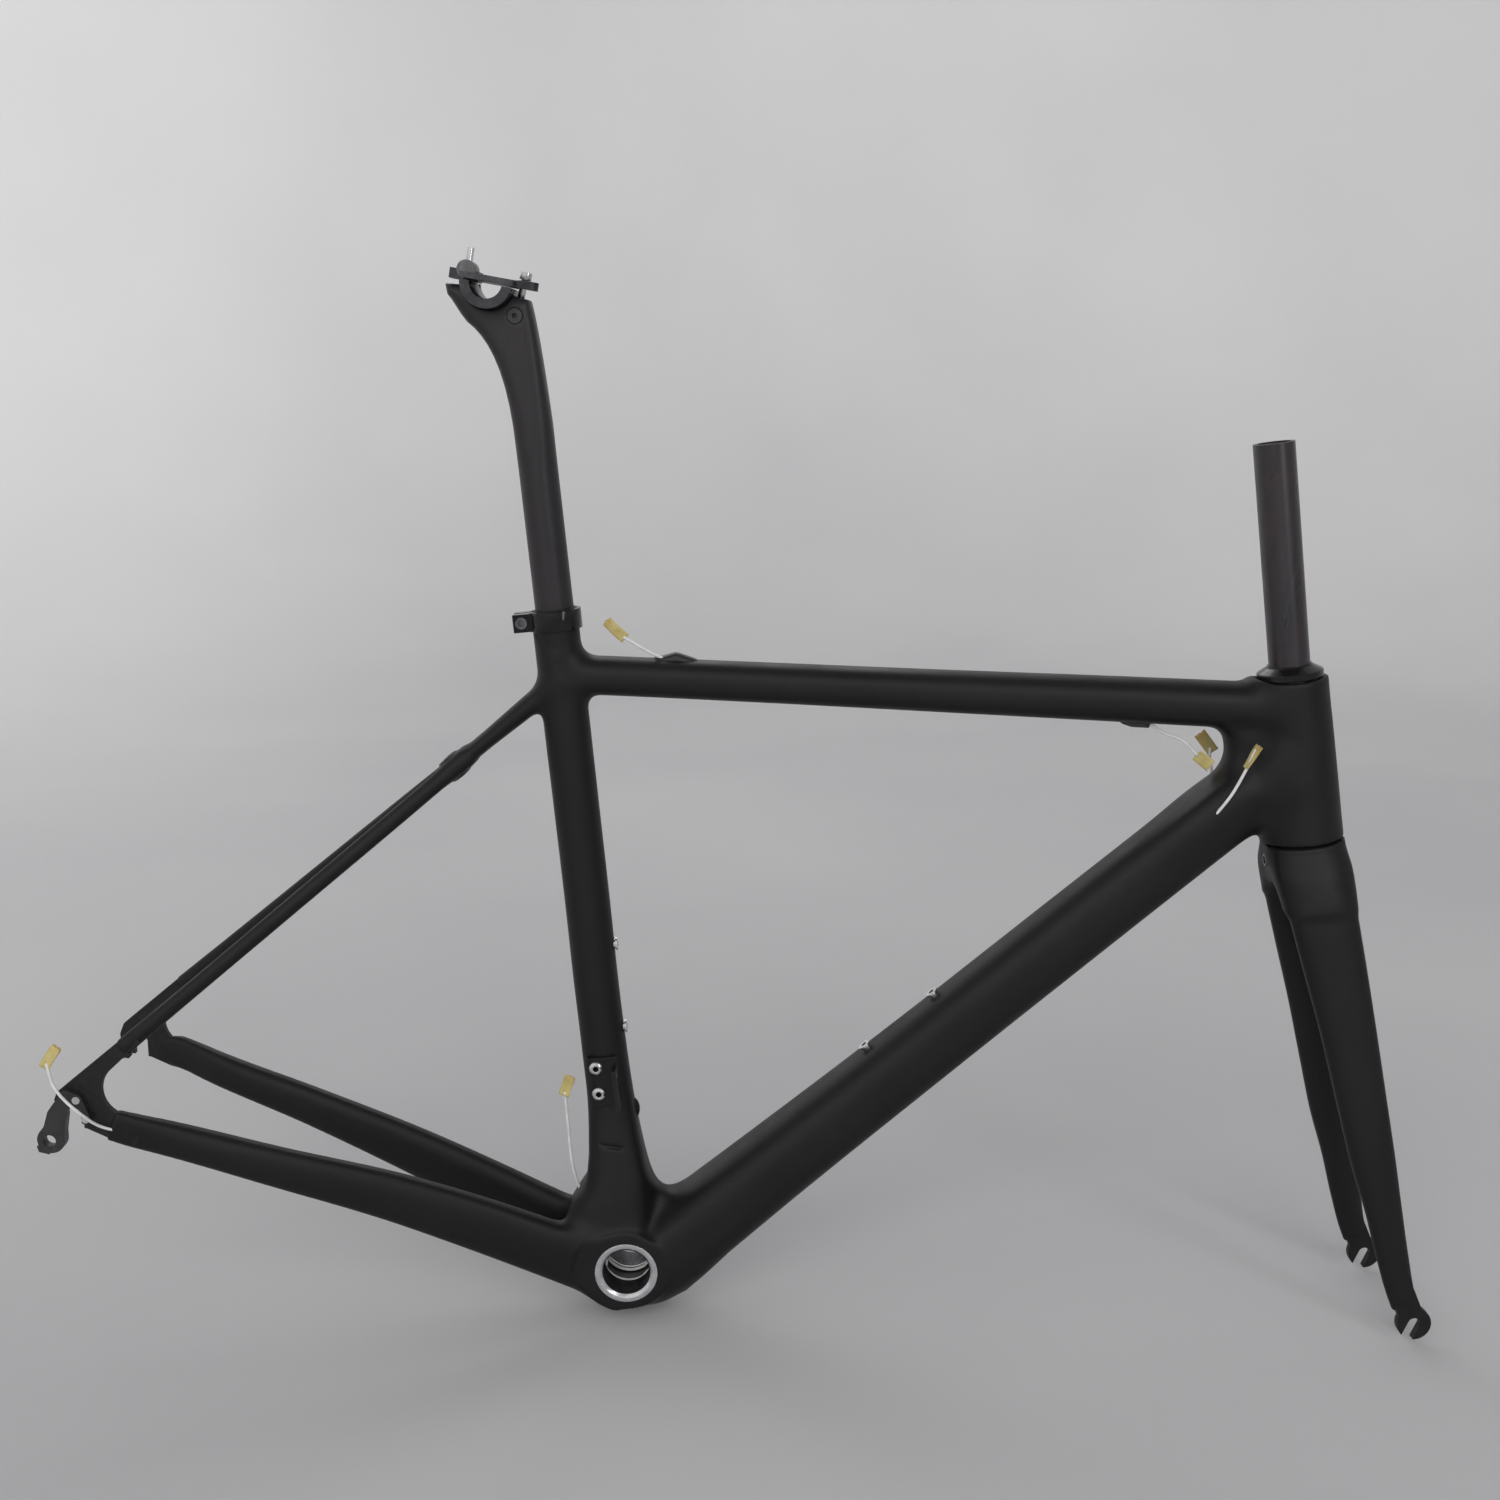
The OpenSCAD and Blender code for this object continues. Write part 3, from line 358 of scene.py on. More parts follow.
def hose(name, points, radius, bore, sides=14):
    """A thin round tube along a curve, with its open bore showing at both ends."""
    line = spline(points)
    directions = frames_along(line)
    rings, faces = [], []
    for p, (_, u, v) in zip(line, directions):
        rings += ring(p, radius, u, v, sides)
    for i in range(len(line) - 1):
        for k in range(sides):
            a, b = i * sides + k, i * sides + (k + 1) % sides
            faces.append((a, b, b + sides, a + sides))
    for end, turn in ((0, 1), (len(line) - 1, -1)):
        base = len(rings)
        t, u, v = directions[end]
        deep = line[end] + t * turn * 3 * radius
        for centre in (line[end], deep):
            rings += ring(centre, bore, u, v, sides)
        rings.append(deep)
        for k in range(sides):
            m = (k + 1) % sides
            quad = (end * sides + m, end * sides + k, base + k, base + m)
            wall = (base + m, base + k, base + sides + k, base + sides + m)
            fan = (base + sides + m, base + sides + k, base + 2 * sides)
            faces += [f if turn > 0 else f[::-1] for f in (quad, wall, fan)]
    return make_object(name, rings, faces)


# ---- The frame's skin ----

FRAME_STEP = 1.5
FORK_STEP = 1.3
POST_STEP = 1.0

TOP_REAR, TOP_FRONT = np.array([-118.0, 431.0]), np.array([400.0, 499.0])
CHAIN_FRONT = np.array([-40.0, 0.0])

# Lines in the centre plane: a place on the line and its direction.
SEAT_LINE = ((0.0, 0.0), SEAT_UP)
DOWN_LINE = (DOWN_FOOT, DOWN_DIR)
TOP_LINE = (TOP_REAR, unit(TOP_FRONT - TOP_REAR))
STEER_LINE = (CROWN, STEER_DOWN)
HEAD_LINE = (CROWN, -STEER_DOWN)
CHAIN_LINE = (CHAIN_FRONT, unit(REAR_AXLE - CHAIN_FRONT))
STAY_LINE = (BRIDGE, STAY_SLOPE)

# Fillets where the frame's parts meet.
BLEND = {"shell": 34.0, "seat": 12.0, "web": 14.0, "head": 14.0, "pod": 6.0, "chainstay": 15.0,
         "seatstay": 9.0, "pad": 9.0}
CORE_BLUR = 7.0         # softening of the tubes' middles where they meet
COVER_SEAT_R = 24.2     # recess in the head tube's top for the headset's cover
SLEEVE_R = 15.9         # the seat tube's thin top, under the collar


def seat_tube(g):
    """Stations: height up the tube, how far back its middle sits, half depth, half width, squareness."""
    return member(g, SEAT_LINE, [
        (-12, 0, 25, 32, 2.8), (0, 0, 26.5, 32.4, 3), (28, 6, 31, 31, 3.4), (42, 8.2, 32.4, 29, 3.5),
        (53, 5.2, 28.6, 27.5, 3.6), (62, 2.2, 24.9, 26, 3.6), (80, 0.7, 21.3, 23.2, 3.3),
        (98, 0.4, 19.4, 20.4, 3), (125, 0.3, 17.4, 17.4, 2.5), (160, 0.8, 16.7, 16.5, 2.1),
        (230, 1.2, 16.4, 16.4, 2), (270, 0.8, 16.4, 16.4, 2), (350, 0.7, 16.4, 16.4, 2),
        (420, 0.7, 16.5, 16.4, 2), (460, 0.6, 16.4, 16.4, 2), (480, 0.5, 16.4, 16.4, 2)], cap=0.6)


def down_tube(g):
    return member(g, DOWN_LINE, [
        (-30, 2, 18, 30, 2.6), (-22, -0.4, 24, 31.5, 2.7), (-12, -1.8, 28.6, 32.2, 2.7),
        (0, -2, 31, 32.4, 2.8), (60, -2.3, 28.9, 30.8, 3), (120, -2, 27.4, 28.8, 3),
        (250, -1.7, 25.7, 25.6, 2.9), (400, -0.5, 25.1, 24.2, 2.8), (520, 0.2, 25, 23.5, 2.6),
        (608, 0.6, 25.4, 23, 2.4)])


def top_tube(g):
    """Stations: x and z of the middle, half depth, half width, squareness."""
    stations = [
        (-118, 431.8, 13.8, 15.5, 2.4), (-95, 435, 13.8, 15.8, 2.4), (20, 450.3, 14, 17.5, 2.5),
        (150, 467.2, 14.8, 18.8, 2.5), (273, 483.3, 15.9, 19.2, 2.5), (346, 492.7, 16.5, 19.2, 2.4),
        (400, 499.6, 17, 19.2, 2.3)]
    return member(g, TOP_LINE, [(*on_line(TOP_LINE, x, z), *section) for x, z, *section in stations])


def chainstay(g, left):
    """One stay. The left one runs lower beside the tyre, and further back, out over its dropout.

    Stations: x and z of the middle, y, half depth, half width, squareness, how far the left one is higher.
    """
    stations = [
        (-4, -9.6, 21, 22, 10.4, 2.6, 0), (-34, -1.6, 23.2, 22.2, 10.6, 2.6, -1),
        (-62, 6.5, 27, 21.6, 11.3, 2.6, -3), (-110, 19.8, 34, 20.7, 10.5, 2.6, -4.4),
        (-175, 34.2, 41, 18.6, 9.5, 2.6, -1.8), (-262, 47.8, 50.5, 15.1, 8.5, 2.6, 3.4),
        (-345, 61.1, 59.5, 12.6, 7.6, 2.8, 5.6), (-362, 64.6, 63.9, 12.1, 6.2, 3.2, 4.8),
        (-378, 68, 67.2, 11.5, 4.6, 3.6, 3.2)]
    if left:
        stations += [(-384, 69.8, 67.3, 9.6, 3.4, 3.4, 2), (-389, 71.6, 67.3, 5.8, 3, 3, 1)]
    rows = []
    for x, z, y, half_d, half_w, n, lift in stations:
        s, off = on_line(CHAIN_LINE, x, z + (lift if left else 0))
        rows.append((s, off, half_d, y, half_w, n))
    return rod(g, CHAIN_LINE, sorted(rows), 1.6)


def seatstay(g):
    """Both legs, the neck that carries them to the seat tube, and the brake's boss."""
    leg = [(-298, 0, 6.2, 66.6, 4.4, 2.4), (-268, 0, 5.9, 63, 5, 2.4), (-150, 0, 5.8, 43, 5.6, 2.3),
           (-30, 0, 6.1, 18, 6.5, 2.3), (14, 0, 6.1, 6, 6, 2.3)]
    legs = smin(rod(g, STAY_LINE, leg, 4.5), rod(g, STAY_LINE, leg, 4.5, -1), 6.0)
    neck = rod(g, STAY_LINE, [(-8, 0, 6.1, 0, 11.4, 2.4), (30, 0, 6.1, 0, 11.5, 2.4),
                              (76, 0, 7.4, 0, 12.5, 2.4), (100, 0, 7.6, 0, 12.6, 2.4)], 2.0)
    s, t = along(g, *STAY_LINE)
    boss = smax(np.hypot(s, g.y) - BRAKE_BOSS_R, np.abs(t) - BRAKE_BOSS_HALF, 1.2)
    stay = smin(smin(legs, neck, 6.0), boss, 4.0)
    return smax(stay, BRAKE_HOLE_R - np.hypot(s, g.y), 0.4)


def cable_pad(g):
    """The low swelling on the side of the down tube round each gear cable's port."""
    half_length, half_height, half_thick = 30.0, 10.0, 5.6
    s, u = along(g, GEAR_PORT, DOWN_DIR)
    r = np.sqrt((s / half_length) ** 2 + (u / half_height) ** 2 + ((g.y - 19.5) / half_thick) ** 2)
    return (r - 1) * half_thick


def head_tube(g):
    radii = [(-2, 29.1), (3, 29), (8, 28.8), (40, 28), (80, 26.9), (108, 26), (HEAD_LENGTH, 25.9)]
    return spindle(g, HEAD_LINE, radii, 0, HEAD_LENGTH, 1.6)


def head_web(g):
    """The plate that fills the corner between the top and down tubes, behind the head tube."""
    return member(g, STEER_LINE, [(-92, -35.5, 14.4, 16, 2.4), (-55, -35.2, 14.2, 15, 2.4),
                                  (-15, -35.2, 14.2, 16, 2.4)], cap=2.0)


def moulding_slit(g):
    """The short slit across each side of the seat tube, above the shell."""
    half_length, radius, side = 8.0, 1.05, 20.8
    x, z = g.x + 27.5, g.z - 91
    past_end = np.maximum(np.abs(x) - half_length, 0)
    return np.sqrt(past_end**2 + z * z + (g.y - side) ** 2 * 0.2) - radius


def frame_bores(g):
    """What is cut away: the seatpost's bore, the bearing seats and the shell's bore."""
    post = spindle(g, SEAT_LINE, [(0, POST_BORE_R)], POST_BORE_FOOT, 520, 0.2)
    lower_seat = spindle(g, HEAD_LINE, [(0, LOWER_SEAT_R)], -4, 8.5, 0.2)
    upper_seat = spindle(g, HEAD_LINE, [(0, UPPER_SEAT_R)], 110.5, 124, 0.2)
    steerer = spindle(g, HEAD_LINE, [(0, 22.5), (60, 20), (HEAD_LENGTH, 17.5)], 8, 112, 0.2)
    return np.minimum.reduce([post, lower_seat, upper_seat, steerer, bar(g, SHELL_BORE_R, 60)])


def main_triangle(g):
    """The three tubes, their webs, the head tube and the shell, solid."""
    body = join(seat_tube(g), down_tube(g), BLEND["shell"], 0.42)
    body = join(body, top_tube(g), BLEND["seat"])
    body = join(body, head_web(g), BLEND["web"])
    d = pillow(g, body, CORE_BLUR)
    d = smin(d, cable_pad(g), BLEND["pad"])
    d = smin(d, head_tube(g), BLEND["head"])
    d = smin(d, bar(g, POD_R, POD_HALF, 1.6), BLEND["pod"])
    return smax(d, g.y - SHELL_FACE, 1.5)


def trim_seat_tube(g, d):
    """Cuts the seat tube off square and leaves its thin top standing for the collar."""
    up = along(g, *SEAT_LINE)[0]
    d = np.where(up > SEAT_TUBE_TOP, np.maximum(d, 0.3), d)
    return np.minimum(d, spindle(g, SEAT_LINE, [(0, SLEEVE_R)], 440, 495, 0.6))


def trim_head_tube(g, d):
    """Sinks the head tube's top for the cover and faces its lower end."""
    s, u = along(g, *HEAD_LINE)
    recess = smax(np.sqrt(u * u + g.y**2) - COVER_SEAT_R, HEAD_LENGTH - s, 0.3)
    d = smax(d, -recess, 0.8)
    return np.where((np.abs(u) < 40) & (s < 4), np.maximum(d, -s), d)


def add_chainstay(g, d, left):
    """The frame with one of its stays, kept level with the shell's face."""
    side = smin(d, chainstay(g, left), BLEND["chainstay"])
    near_shell = np.hypot(g.x, g.z) < 40
    return np.where(near_shell, smax(side, g.y - SHELL_FACE, 1.0), side)


def build_frame_skin():
    g = Grid((-404, 0, -36), (452, 78, 536), FRAME_STEP)
    d = smin(main_triangle(g), seatstay(g), BLEND["seatstay"])
    d = smax(d, -moulding_slit(g), 0.6)
    d = trim_head_tube(g, trim_seat_tube(g, d))
    bores = frame_bores(g)
    return skin("frame_skin", g, *[np.maximum(add_chainstay(g, d, left), -bores) for left in (True, False)])


# ---- The fork's skin ----

CROWN_GAP = 0.75        # between the head tube's foot and the crown
BRAKE_HOLE_DOWN = 13.35
ARCH_DOWN, ARCH_R = 52.0, 19.0


def build_fork_skin():
    low = np.minimum(steer_pt(0, -40), steer_pt(355, -2))
    high = np.maximum(steer_pt(0, 40), steer_pt(358, 52))
    g = Grid((min(low[0], CROWN[0] - 40), 0, low[1] - 6), (high[0], 62, high[1] + 4), FORK_STEP)
    blade = rod(g, STEER_LINE, [
        (4, 0.2, 20, 16, 9, 2), (16, 0.6, 24, 21.5, 10.5, 2.1), (30, 1.6, 24.7, 25.5, 11.2, 2.2),
        (50, 2.95, 23.95, 30, 11.5, 2.3), (80, 6.15, 22.65, 33.5, 11.1, 2.3),
        (140, 12.65, 19.65, 39.5, 10, 2.3), (190, 17.3, 17.8, 43.4, 9.2, 2.3),
        (238, 21.9, 15.9, 47, 8.5, 2.3), (270, 25.7, 13.5, 49, 7.5, 2.3), (314, 30.2, 11.4, 51.6, 5.9, 2.3),
        (340, 33.65, 10.15, 53, 4.3, 2.3), (352, 36.2, 9.6, 53.25, 3.6, 2.3)], 2.5)
    crown = rod(g, STEER_LINE, [
        (0.7, 0, 28, 0, 28, 2), (10, 0, 28.2, 0, 29.5, 2.1), (24, 0.5, 26.5, 0, 34.5, 2.3),
        (40, 1.5, 24, 0, 37, 2.4)], 1.2)
    d = smin(blade, crown, 16.0)
    s = along(g, *STEER_LINE)[0]
    arch = smin(np.hypot(s - ARCH_DOWN, g.y) - ARCH_R, smax(g.y - ARCH_R, ARCH_DOWN - s, 1.0), 1.0)
    d = smax(d, -arch, 7.0)
    hole = np.hypot(s - BRAKE_HOLE_DOWN, g.y) - BRAKE_HOLE_R
    d = smax(d, -hole, 0.5)
    return skin("fork_skin", g, np.maximum(d, CROWN_GAP - s))


# ---- The seatpost's skin ----

HEAD_STARTS, HEAD_RISE = 590.0, 90.0    # where the shaft starts to turn square, and over what length
CRADLE_R = 17.6                         # trough that the saddle clamp rocks in
FRONT_NUT_R, FRONT_BOLT_R = 5.1, 3.9
FRONT_BOLT_TOP = TILT_AXIS + np.array([22.3, 6.35])
REAR_BOLT_X = TILT_AXIS[0] - 16.7
REAR_BOLT_R, REAR_NUT_R = 3.2, 4.9


def bezier(p, q, r, s, n=10):
    """Points along the curve from p to s that q and r pull on."""
    t = np.linspace(0, 1, n)[:, None]
    return (1 - t) ** 3 * p + 3 * (1 - t) ** 2 * t * q + 3 * (1 - t) * t * t * r + t**3 * s


def post_outline():
    """The seatpost seen from the side, head and shaft, as a closed polygon."""
    def spot(x, z):
        return TILT_AXIS + np.array([x, z])
    front = bezier(spot(28.3, -6.2), spot(33.8, -18), spot(44, -48), seat_pt(622, POST_R))
    foot = [seat_pt(POST_FOOT - 25, POST_R), seat_pt(POST_FOOT - 25, -POST_R)]
    rear = bezier(seat_pt(606, -POST_R), spot(20.5, -57), spot(4.5, -36), spot(-11.5, -28))
    chin = bezier(spot(-11.5, -28), spot(-18.5, -22.5), spot(-23, -15), spot(-27.5, -12.2), 6)
    return np.vstack([[spot(0, 0), spot(18.8, -5.4)], front, foot, rear, chin[1:],
                      [spot(-30, -5), spot(-20, -4.2)]])


def polygon_distance(x, z, outline):
    """Signed distance in the plane to a closed outline, negative inside."""
    best = np.full(np.broadcast(x, z).shape, 1e9, np.float32)
    inside = np.zeros(best.shape, bool)
    for a, b in zip(outline, np.roll(outline, -1, axis=0)):
        e = b - a
        t = np.clip(((x - a[0]) * e[0] + (z - a[1]) * e[1]) / (e @ e), 0, 1)
        best = np.minimum(best, np.hypot(x - a[0] - t * e[0], z - a[1] - t * e[1]))
        crosses = (a[1] > z) != (b[1] > z)
        slope = e[0] / e[1] if abs(e[1]) > 1e-9 else 0.0
        inside ^= crosses & (x < a[0] + slope * (z - a[1]))
    return np.where(inside, -best, best)


def post_bores(g):
    """The shaft's bore, the front nut's and bolt's, and the rear bolt's with a wider one for its nut."""
    shaft = spindle(g, SEAT_LINE, [(0, POST_INNER_R)], 350, 610, 2.0)
    front_nut = np.hypot(g.x - NUT_FRONT[0], g.z - NUT_FRONT[1]) - FRONT_NUT_R
    s, t = along(g, NUT_FRONT, unit(FRONT_BOLT_TOP - NUT_FRONT))
    front_bolt = np.maximum(np.sqrt(t * t + g.y**2) - FRONT_BOLT_R, -8 - s)
    across = np.sqrt((g.x - REAR_BOLT_X) ** 2 + g.y**2)
    rear_bolt = np.maximum(across - REAR_BOLT_R, TILT_AXIS[1] - 14 - g.z)
    rear_nut = np.maximum(across - REAR_NUT_R, g.z - (TILT_AXIS[1] - 12.9))
    return np.minimum.reduce(np.broadcast_arrays(shaft, front_nut, front_bolt, rear_bolt, rear_nut))


def build_post_skin():
    g = Grid((-244, 0, 345), (-80, 16, 690), POST_STEP)
    e = polygon_distance(g.x, g.z, post_outline())
    up = along(g, *SEAT_LINE)[0]
    rise = np.clip((up - HEAD_STARTS) / HEAD_RISE, 0, 1)
    half = np.full_like(e, POST_R)
    d = pillow(g, [e, half, half - 0.6 * rise, 2 + 1.6 * rise])
    d = smax(d, POST_FOOT - up, 0.6)
    d = smax(d, CRADLE_R - np.hypot(g.x - TILT_AXIS[0], g.z - TILT_AXIS[1]), 0.8)
    return skin("post_skin", g, np.maximum(d, -post_bores(g)))


# ---- Small pieces built fresh ----

def settle(piece, like, *replaced):
    """Puts a piece on the body of the CAD node it is like, in place of some nodes."""
    record = frame["record"]
    bodies = record["behaviour"]["bodies"]
    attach(piece, next(body for body, members in bodies.items() if like in members))
    if replaced:
        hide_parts(*replaced)
    return piece


def bb_cup(name, side):
    """A threaded alloy sleeve in the shell: flange, machined chamfer, then the thread's ridges."""
    face, inner_end = CUP_HALF, CUP_HALF - 23.0
    crest_r, root_r, pitch = 17.45, 17.95, 1.06
    profile = [(21.0, inner_end), (21.0, face - 0.6), (22.9, face - 0.6), (23.3, face - 0.3),
               (23.2, face - 0.05), (23.0, face), (20.1, face), (19.7, face - 0.15), (18.3, face - 1.7)]
    turned = len(profile)
    h = face - 2.0
    while h > inner_end + pitch:
        profile += [(root_r, h), (crest_r, h - 0.5 * pitch)]
        h -= pitch
    profile.append((18.2, inner_end))
    piece = lathe(name, profile, np.zeros(3), [0, side, 0], 128)
    # The thread's faces take the second finish, much darker than the flange: painted shade for the inside of
    # the bore.
    for polygon in piece.data.polygons:
        on_thread = turned <= polygon.index % len(profile) < len(profile) - 1
        polygon.material_index = 1 if on_thread else 0
    return piece


def build_rear_port():
    """The peaked guide on top of the top tube, where the brake liner leaves it."""
    step = 0.5
    g = Grid((-62, 0, 440), (-18, 9, 464), step)
    outline = np.array([(-57, 444), (-57, 454.6), (-55, 456), (-50.5, 457.2), (-42.5, 461.2), (-40, 461.2),
                        (-30, 459.6), (-24, 458.2), (-22, 446)], float)
    e = polygon_distance(g.x, g.z, outline)
    flat_form = [e, np.full_like(e, 5.0), np.full_like(e, 6.0), np.full_like(e, 2.6)]
    piece = skin("brake_port_rear_guide", g, pillow(g, flat_form), rounds=1)
    return settle(piece, "brake_port_rear", "brake_port_rear")


def build_exit_plug():
    """The domed rubber plug in the front of the seat tube."""
    x, z = seat_pt(116, 15.2)
    room, half_length, rise, half_width = 12, 8.5, 5.2, 4.8
    step = 0.4
    g = Grid((x - room, 0, z - room), (x + room, 8, z + room), step)
    s, u = along(g, (x, z), SEAT_UP)
    d = (np.sqrt((s / half_length) ** 2 + (u / rise) ** 2 + (g.y / half_width) ** 2) - 1) * 5
    return settle(skin("exit_plug_dome", g, d, rounds=1), "cable_exit_guide", "cable_exit_guide")


def build_rivets():
    """Domed rivets with a deep drive hole, holding the front derailleur's bracket."""
    profile = [(2.05, -2.5), (2.05, 1.7), (2.4, 2.0), (3.4, 1.8), (4.4, 1.2), (5.0, 0.55), (5.15, 0.0),
               (4.0, -0.1), (2.6, -2.5)]
    low, high = [lathe(name, profile, at3(seat_pt(up, -6.5), -19.0), [0, -1, 0], 48)
                 for name, up in (("mech_rivet_low", 137), ("mech_rivet_high", 157))]
    return [settle(low, "front_mech_rivets", "front_mech_rivets"), settle(high, "front_mech_rivets")]


LINER_R, LINER_BORE_R = 1.1, 0.6
SHELL_LOOP_R = 19.6


def arc_in_shell(y):
    turns = [math.radians(t) for t in range(20, 171, 30)]
    return [(SHELL_LOOP_R * math.cos(t), y, -SHELL_LOOP_R * math.sin(t)) for t in turns]


def gear_line(side):
    """From the loose end beside the head tube, into the down tube and round under the shell's bore."""
    down_length = np.linalg.norm(steer_pt(-DOWN_MEETS_HEAD) - DOWN_FOOT)
    return [(368, side * 33, 470), (365, side * 32, 455), (360, side * 28.5, 434),
            at3(GEAR_PORT, side * 23.6), at3(DOWN_FOOT + (down_length - 95) * DOWN_DIR, side * 15),
            at3(DOWN_FOOT + 60 * DOWN_DIR, side * 8)] + arc_in_shell(side * 8)


REAR_GEAR = gear_line(-1) + [(-52, -27, 8), (-110, -34, 22), (-262, -50.5, 50), (-345, -60, 63),
                             (-379, -71.6, 66.5), (-396, -81.5, 79), (-415, -81.5, 94), (-424, -80, 112)]
FRONT_GEAR = [(356, 33, 455), (357, 32, 448)] + gear_line(1)[2:] + [
    (-33, 4, 22), (-52, 1, 58), (-62, -2, 96), (-68, -6, 122)]
BRAKE = [(-80, -10, 467), (-62, -6, 459.5), (-50, -3, 455.6), (-36, 0, 451), (106, 0, 463), (264, 0, 481),
         (284, 0, 476.5), (300, 0, 469.5), (312, 0, 464.8), (326, 2, 461.5), (340, 5, 452)]


def build_liners():
    lines = {"rear_gear_liner": REAR_GEAR, "front_gear_liner": FRONT_GEAR, "brake_liner": BRAKE}
    return [settle(hose(node + "_hose", line, LINER_R, LINER_BORE_R), node, node)
            for node, line in lines.items()]


def fold_faces(rows, cols):
    """Faces for two leaves of points, one after the other, that share their first row."""
    n, faces = (rows + 1) * (cols + 1), []
    for leaf in range(2):
        for i in range(rows):
            for j in range(cols):
                a = leaf * n + i * (cols + 1) + j
                quad = (a, a + 1, a + cols + 2, a + cols + 1)
                faces.append(quad if leaf == 0 else quad[::-1])
    return faces + [(j, n + j, n + j + 1, j + 1) for j in range(cols)]


def tape_flag(name, start, run, lift, curl, back, length, width, seed):
    """A strip of paper tape folded over a liner's end: two leaves that part and curl, one edge torn."""
    run, lift = unit(run), unit(lift)
    across = unit(np.cross(run, lift))
    lift = np.cross(across, run)
    rows, cols, points = 16, 8, []
    gap, flare, ripple = 0.16, 0.9, 0.35
    tear = np.random.default_rng(seed).normal(0, 0.35, cols + 1)
    for leaf in (1, -1):
        for i in range(rows + 1):
            t = i / rows
            for j in range(cols + 1):
                v = j / cols - 0.5
                x = t * length + (tear[j] if i == rows else 0)
                part = leaf * (gap + flare * t * t) + ripple * math.sin(5 * t + 2 * v + seed)
                bend = curl * t * t * length * (1 + 0.5 * v)
                points.append(start + run * (x - back) + across * v * width + lift * (part + bend))
    piece = make_object(name, points, fold_faces(rows, cols))
    paper = piece.modifiers.new("paper", "SOLIDIFY")
    paper.thickness, paper.offset = 0.16 * MM, 0
    return piece


def build_tapes():
    """Six flags: start, way it runs, way it lifts, curl, how far back it grips, length, width."""
    spots = [("rear_gear_in", REAR_GEAR[0], (0.30, 0, 1), (0.97, 0.2, -0.3), 0.06, 15, 18, 8),
             ("front_gear_in", FRONT_GEAR[0], (-0.74, 0, 0.67), (0.1, 1, 0), -0.1, 4, 18, 9),
             ("brake_rear", BRAKE[0], (-0.86, 0, 0.5), (0, 1, 0.4), 0.12, 2, 18, 8),
             ("brake_front", BRAKE[-1], (0.9, 0, -0.44), (0, 1, 0.3), -0.1, 1, 13, 9),
             ("rear_gear_out", REAR_GEAR[-1], (0.3, 0, 0.94), (0.2, 1, 0), 0.3, 4, 16, 8),
             ("front_gear_out", FRONT_GEAR[-1], (0.17, 0, 0.98), (0.2, 1, 0.1), -0.16, 3, 17, 8)]
    made = [tape_flag("tape_" + name, np.array(start, float), *form, seed)
            for seed, (name, start, *form) in enumerate(spots)]
    settle(made[0], "liner_tags", "liner_tags")
    return made[:1] + [settle(piece, "liner_tags") for piece in made[1:]]


# ---- Materials ----

class Nodes:
    """A material's node tree with short helpers."""

    def __init__(self, name):
        self.material = bpy.data.materials.new(name)
        self.material.use_nodes = True
        self.tree = self.material.node_tree
        self.shader = self.tree.nodes["Principled BSDF"]
        self.coords = self.add("ShaderNodeTexCoord").outputs["Object"]

    def plug(self, socket, value):
        """Feeds a socket from another one or with a value; a colour may leave out its alpha."""
        if isinstance(value, bpy.types.NodeSocket):
            self.tree.links.new(value, socket)
        elif socket.type == "RGBA":
            socket.default_value = tuple(value[:3]) + (1,)
        else:
            socket.default_value = value

    def add(self, kind, **inputs):
        node = self.tree.nodes.new(kind)
        for key, value in inputs.items():
            self.plug(node.inputs[key.replace("_", " ")], value)
        return node

    def calc(self, operation, *values, kind="ShaderNodeMath"):
        node = self.tree.nodes.new(kind)
        node.operation = operation
        for socket, value in zip(node.inputs, values):
            self.plug(socket, value)
        return node.outputs["Value" if operation == "LENGTH" else 0]

    def noise(self, scale, detail=3.0, rough=0.5, stretch=(1, 1, 1), turn=(0, 0, 0)):
        mapping = self.add("ShaderNodeMapping", Vector=self.coords, Scale=stretch, Rotation=turn)
        return self.add("ShaderNodeTexNoise", Vector=mapping.outputs[0], Scale=scale, Detail=detail,
                        Roughness=rough).outputs["Fac"]

    def ramp(self, value, stops):
        node = self.add("ShaderNodeValToRGB", Fac=value)
        elements = node.color_ramp.elements
        while len(elements) < len(stops):
            elements.new(0.5)
        for element, (place, colour) in zip(elements, stops):
            element.position = place
            element.color = colour + (1,)
        return node.outputs["Color"]

    def span(self, value, low, high, from_low=0.3, from_high=0.7):
        """A value spread over a new range; most noise lies between 0.3 and 0.7."""
        node = self.add("ShaderNodeMapRange", Value=value)
        node.inputs["From Min"].default_value = from_low
        node.inputs["From Max"].default_value = from_high
        node.inputs["To Min"].default_value = low
        node.inputs["To Max"].default_value = high
        return node.outputs[0]

    def mix(self, fac, a, b, mode="MIX"):
        node = self.tree.nodes.new("ShaderNodeMix")
        node.data_type, node.blend_type = "RGBA", mode
        factor, colour_a, colour_b = node.inputs[0], node.inputs[6], node.inputs[7]
        self.plug(factor, fac)
        self.plug(colour_a, a)
        self.plug(colour_b, b)
        return node.outputs[2]

    def bump(self, height, strength, distance, under=None):
        node = self.add("ShaderNodeBump", Height=height, Strength=strength, Distance=distance)
        if under is not None:
            self.plug(node.inputs["Normal"], under)
        return node.outputs["Normal"]

    def finish(self, **inputs):
        for key, value in inputs.items():
            self.plug(self.shader.inputs[key.replace("_", " ")], value)
        return self.material


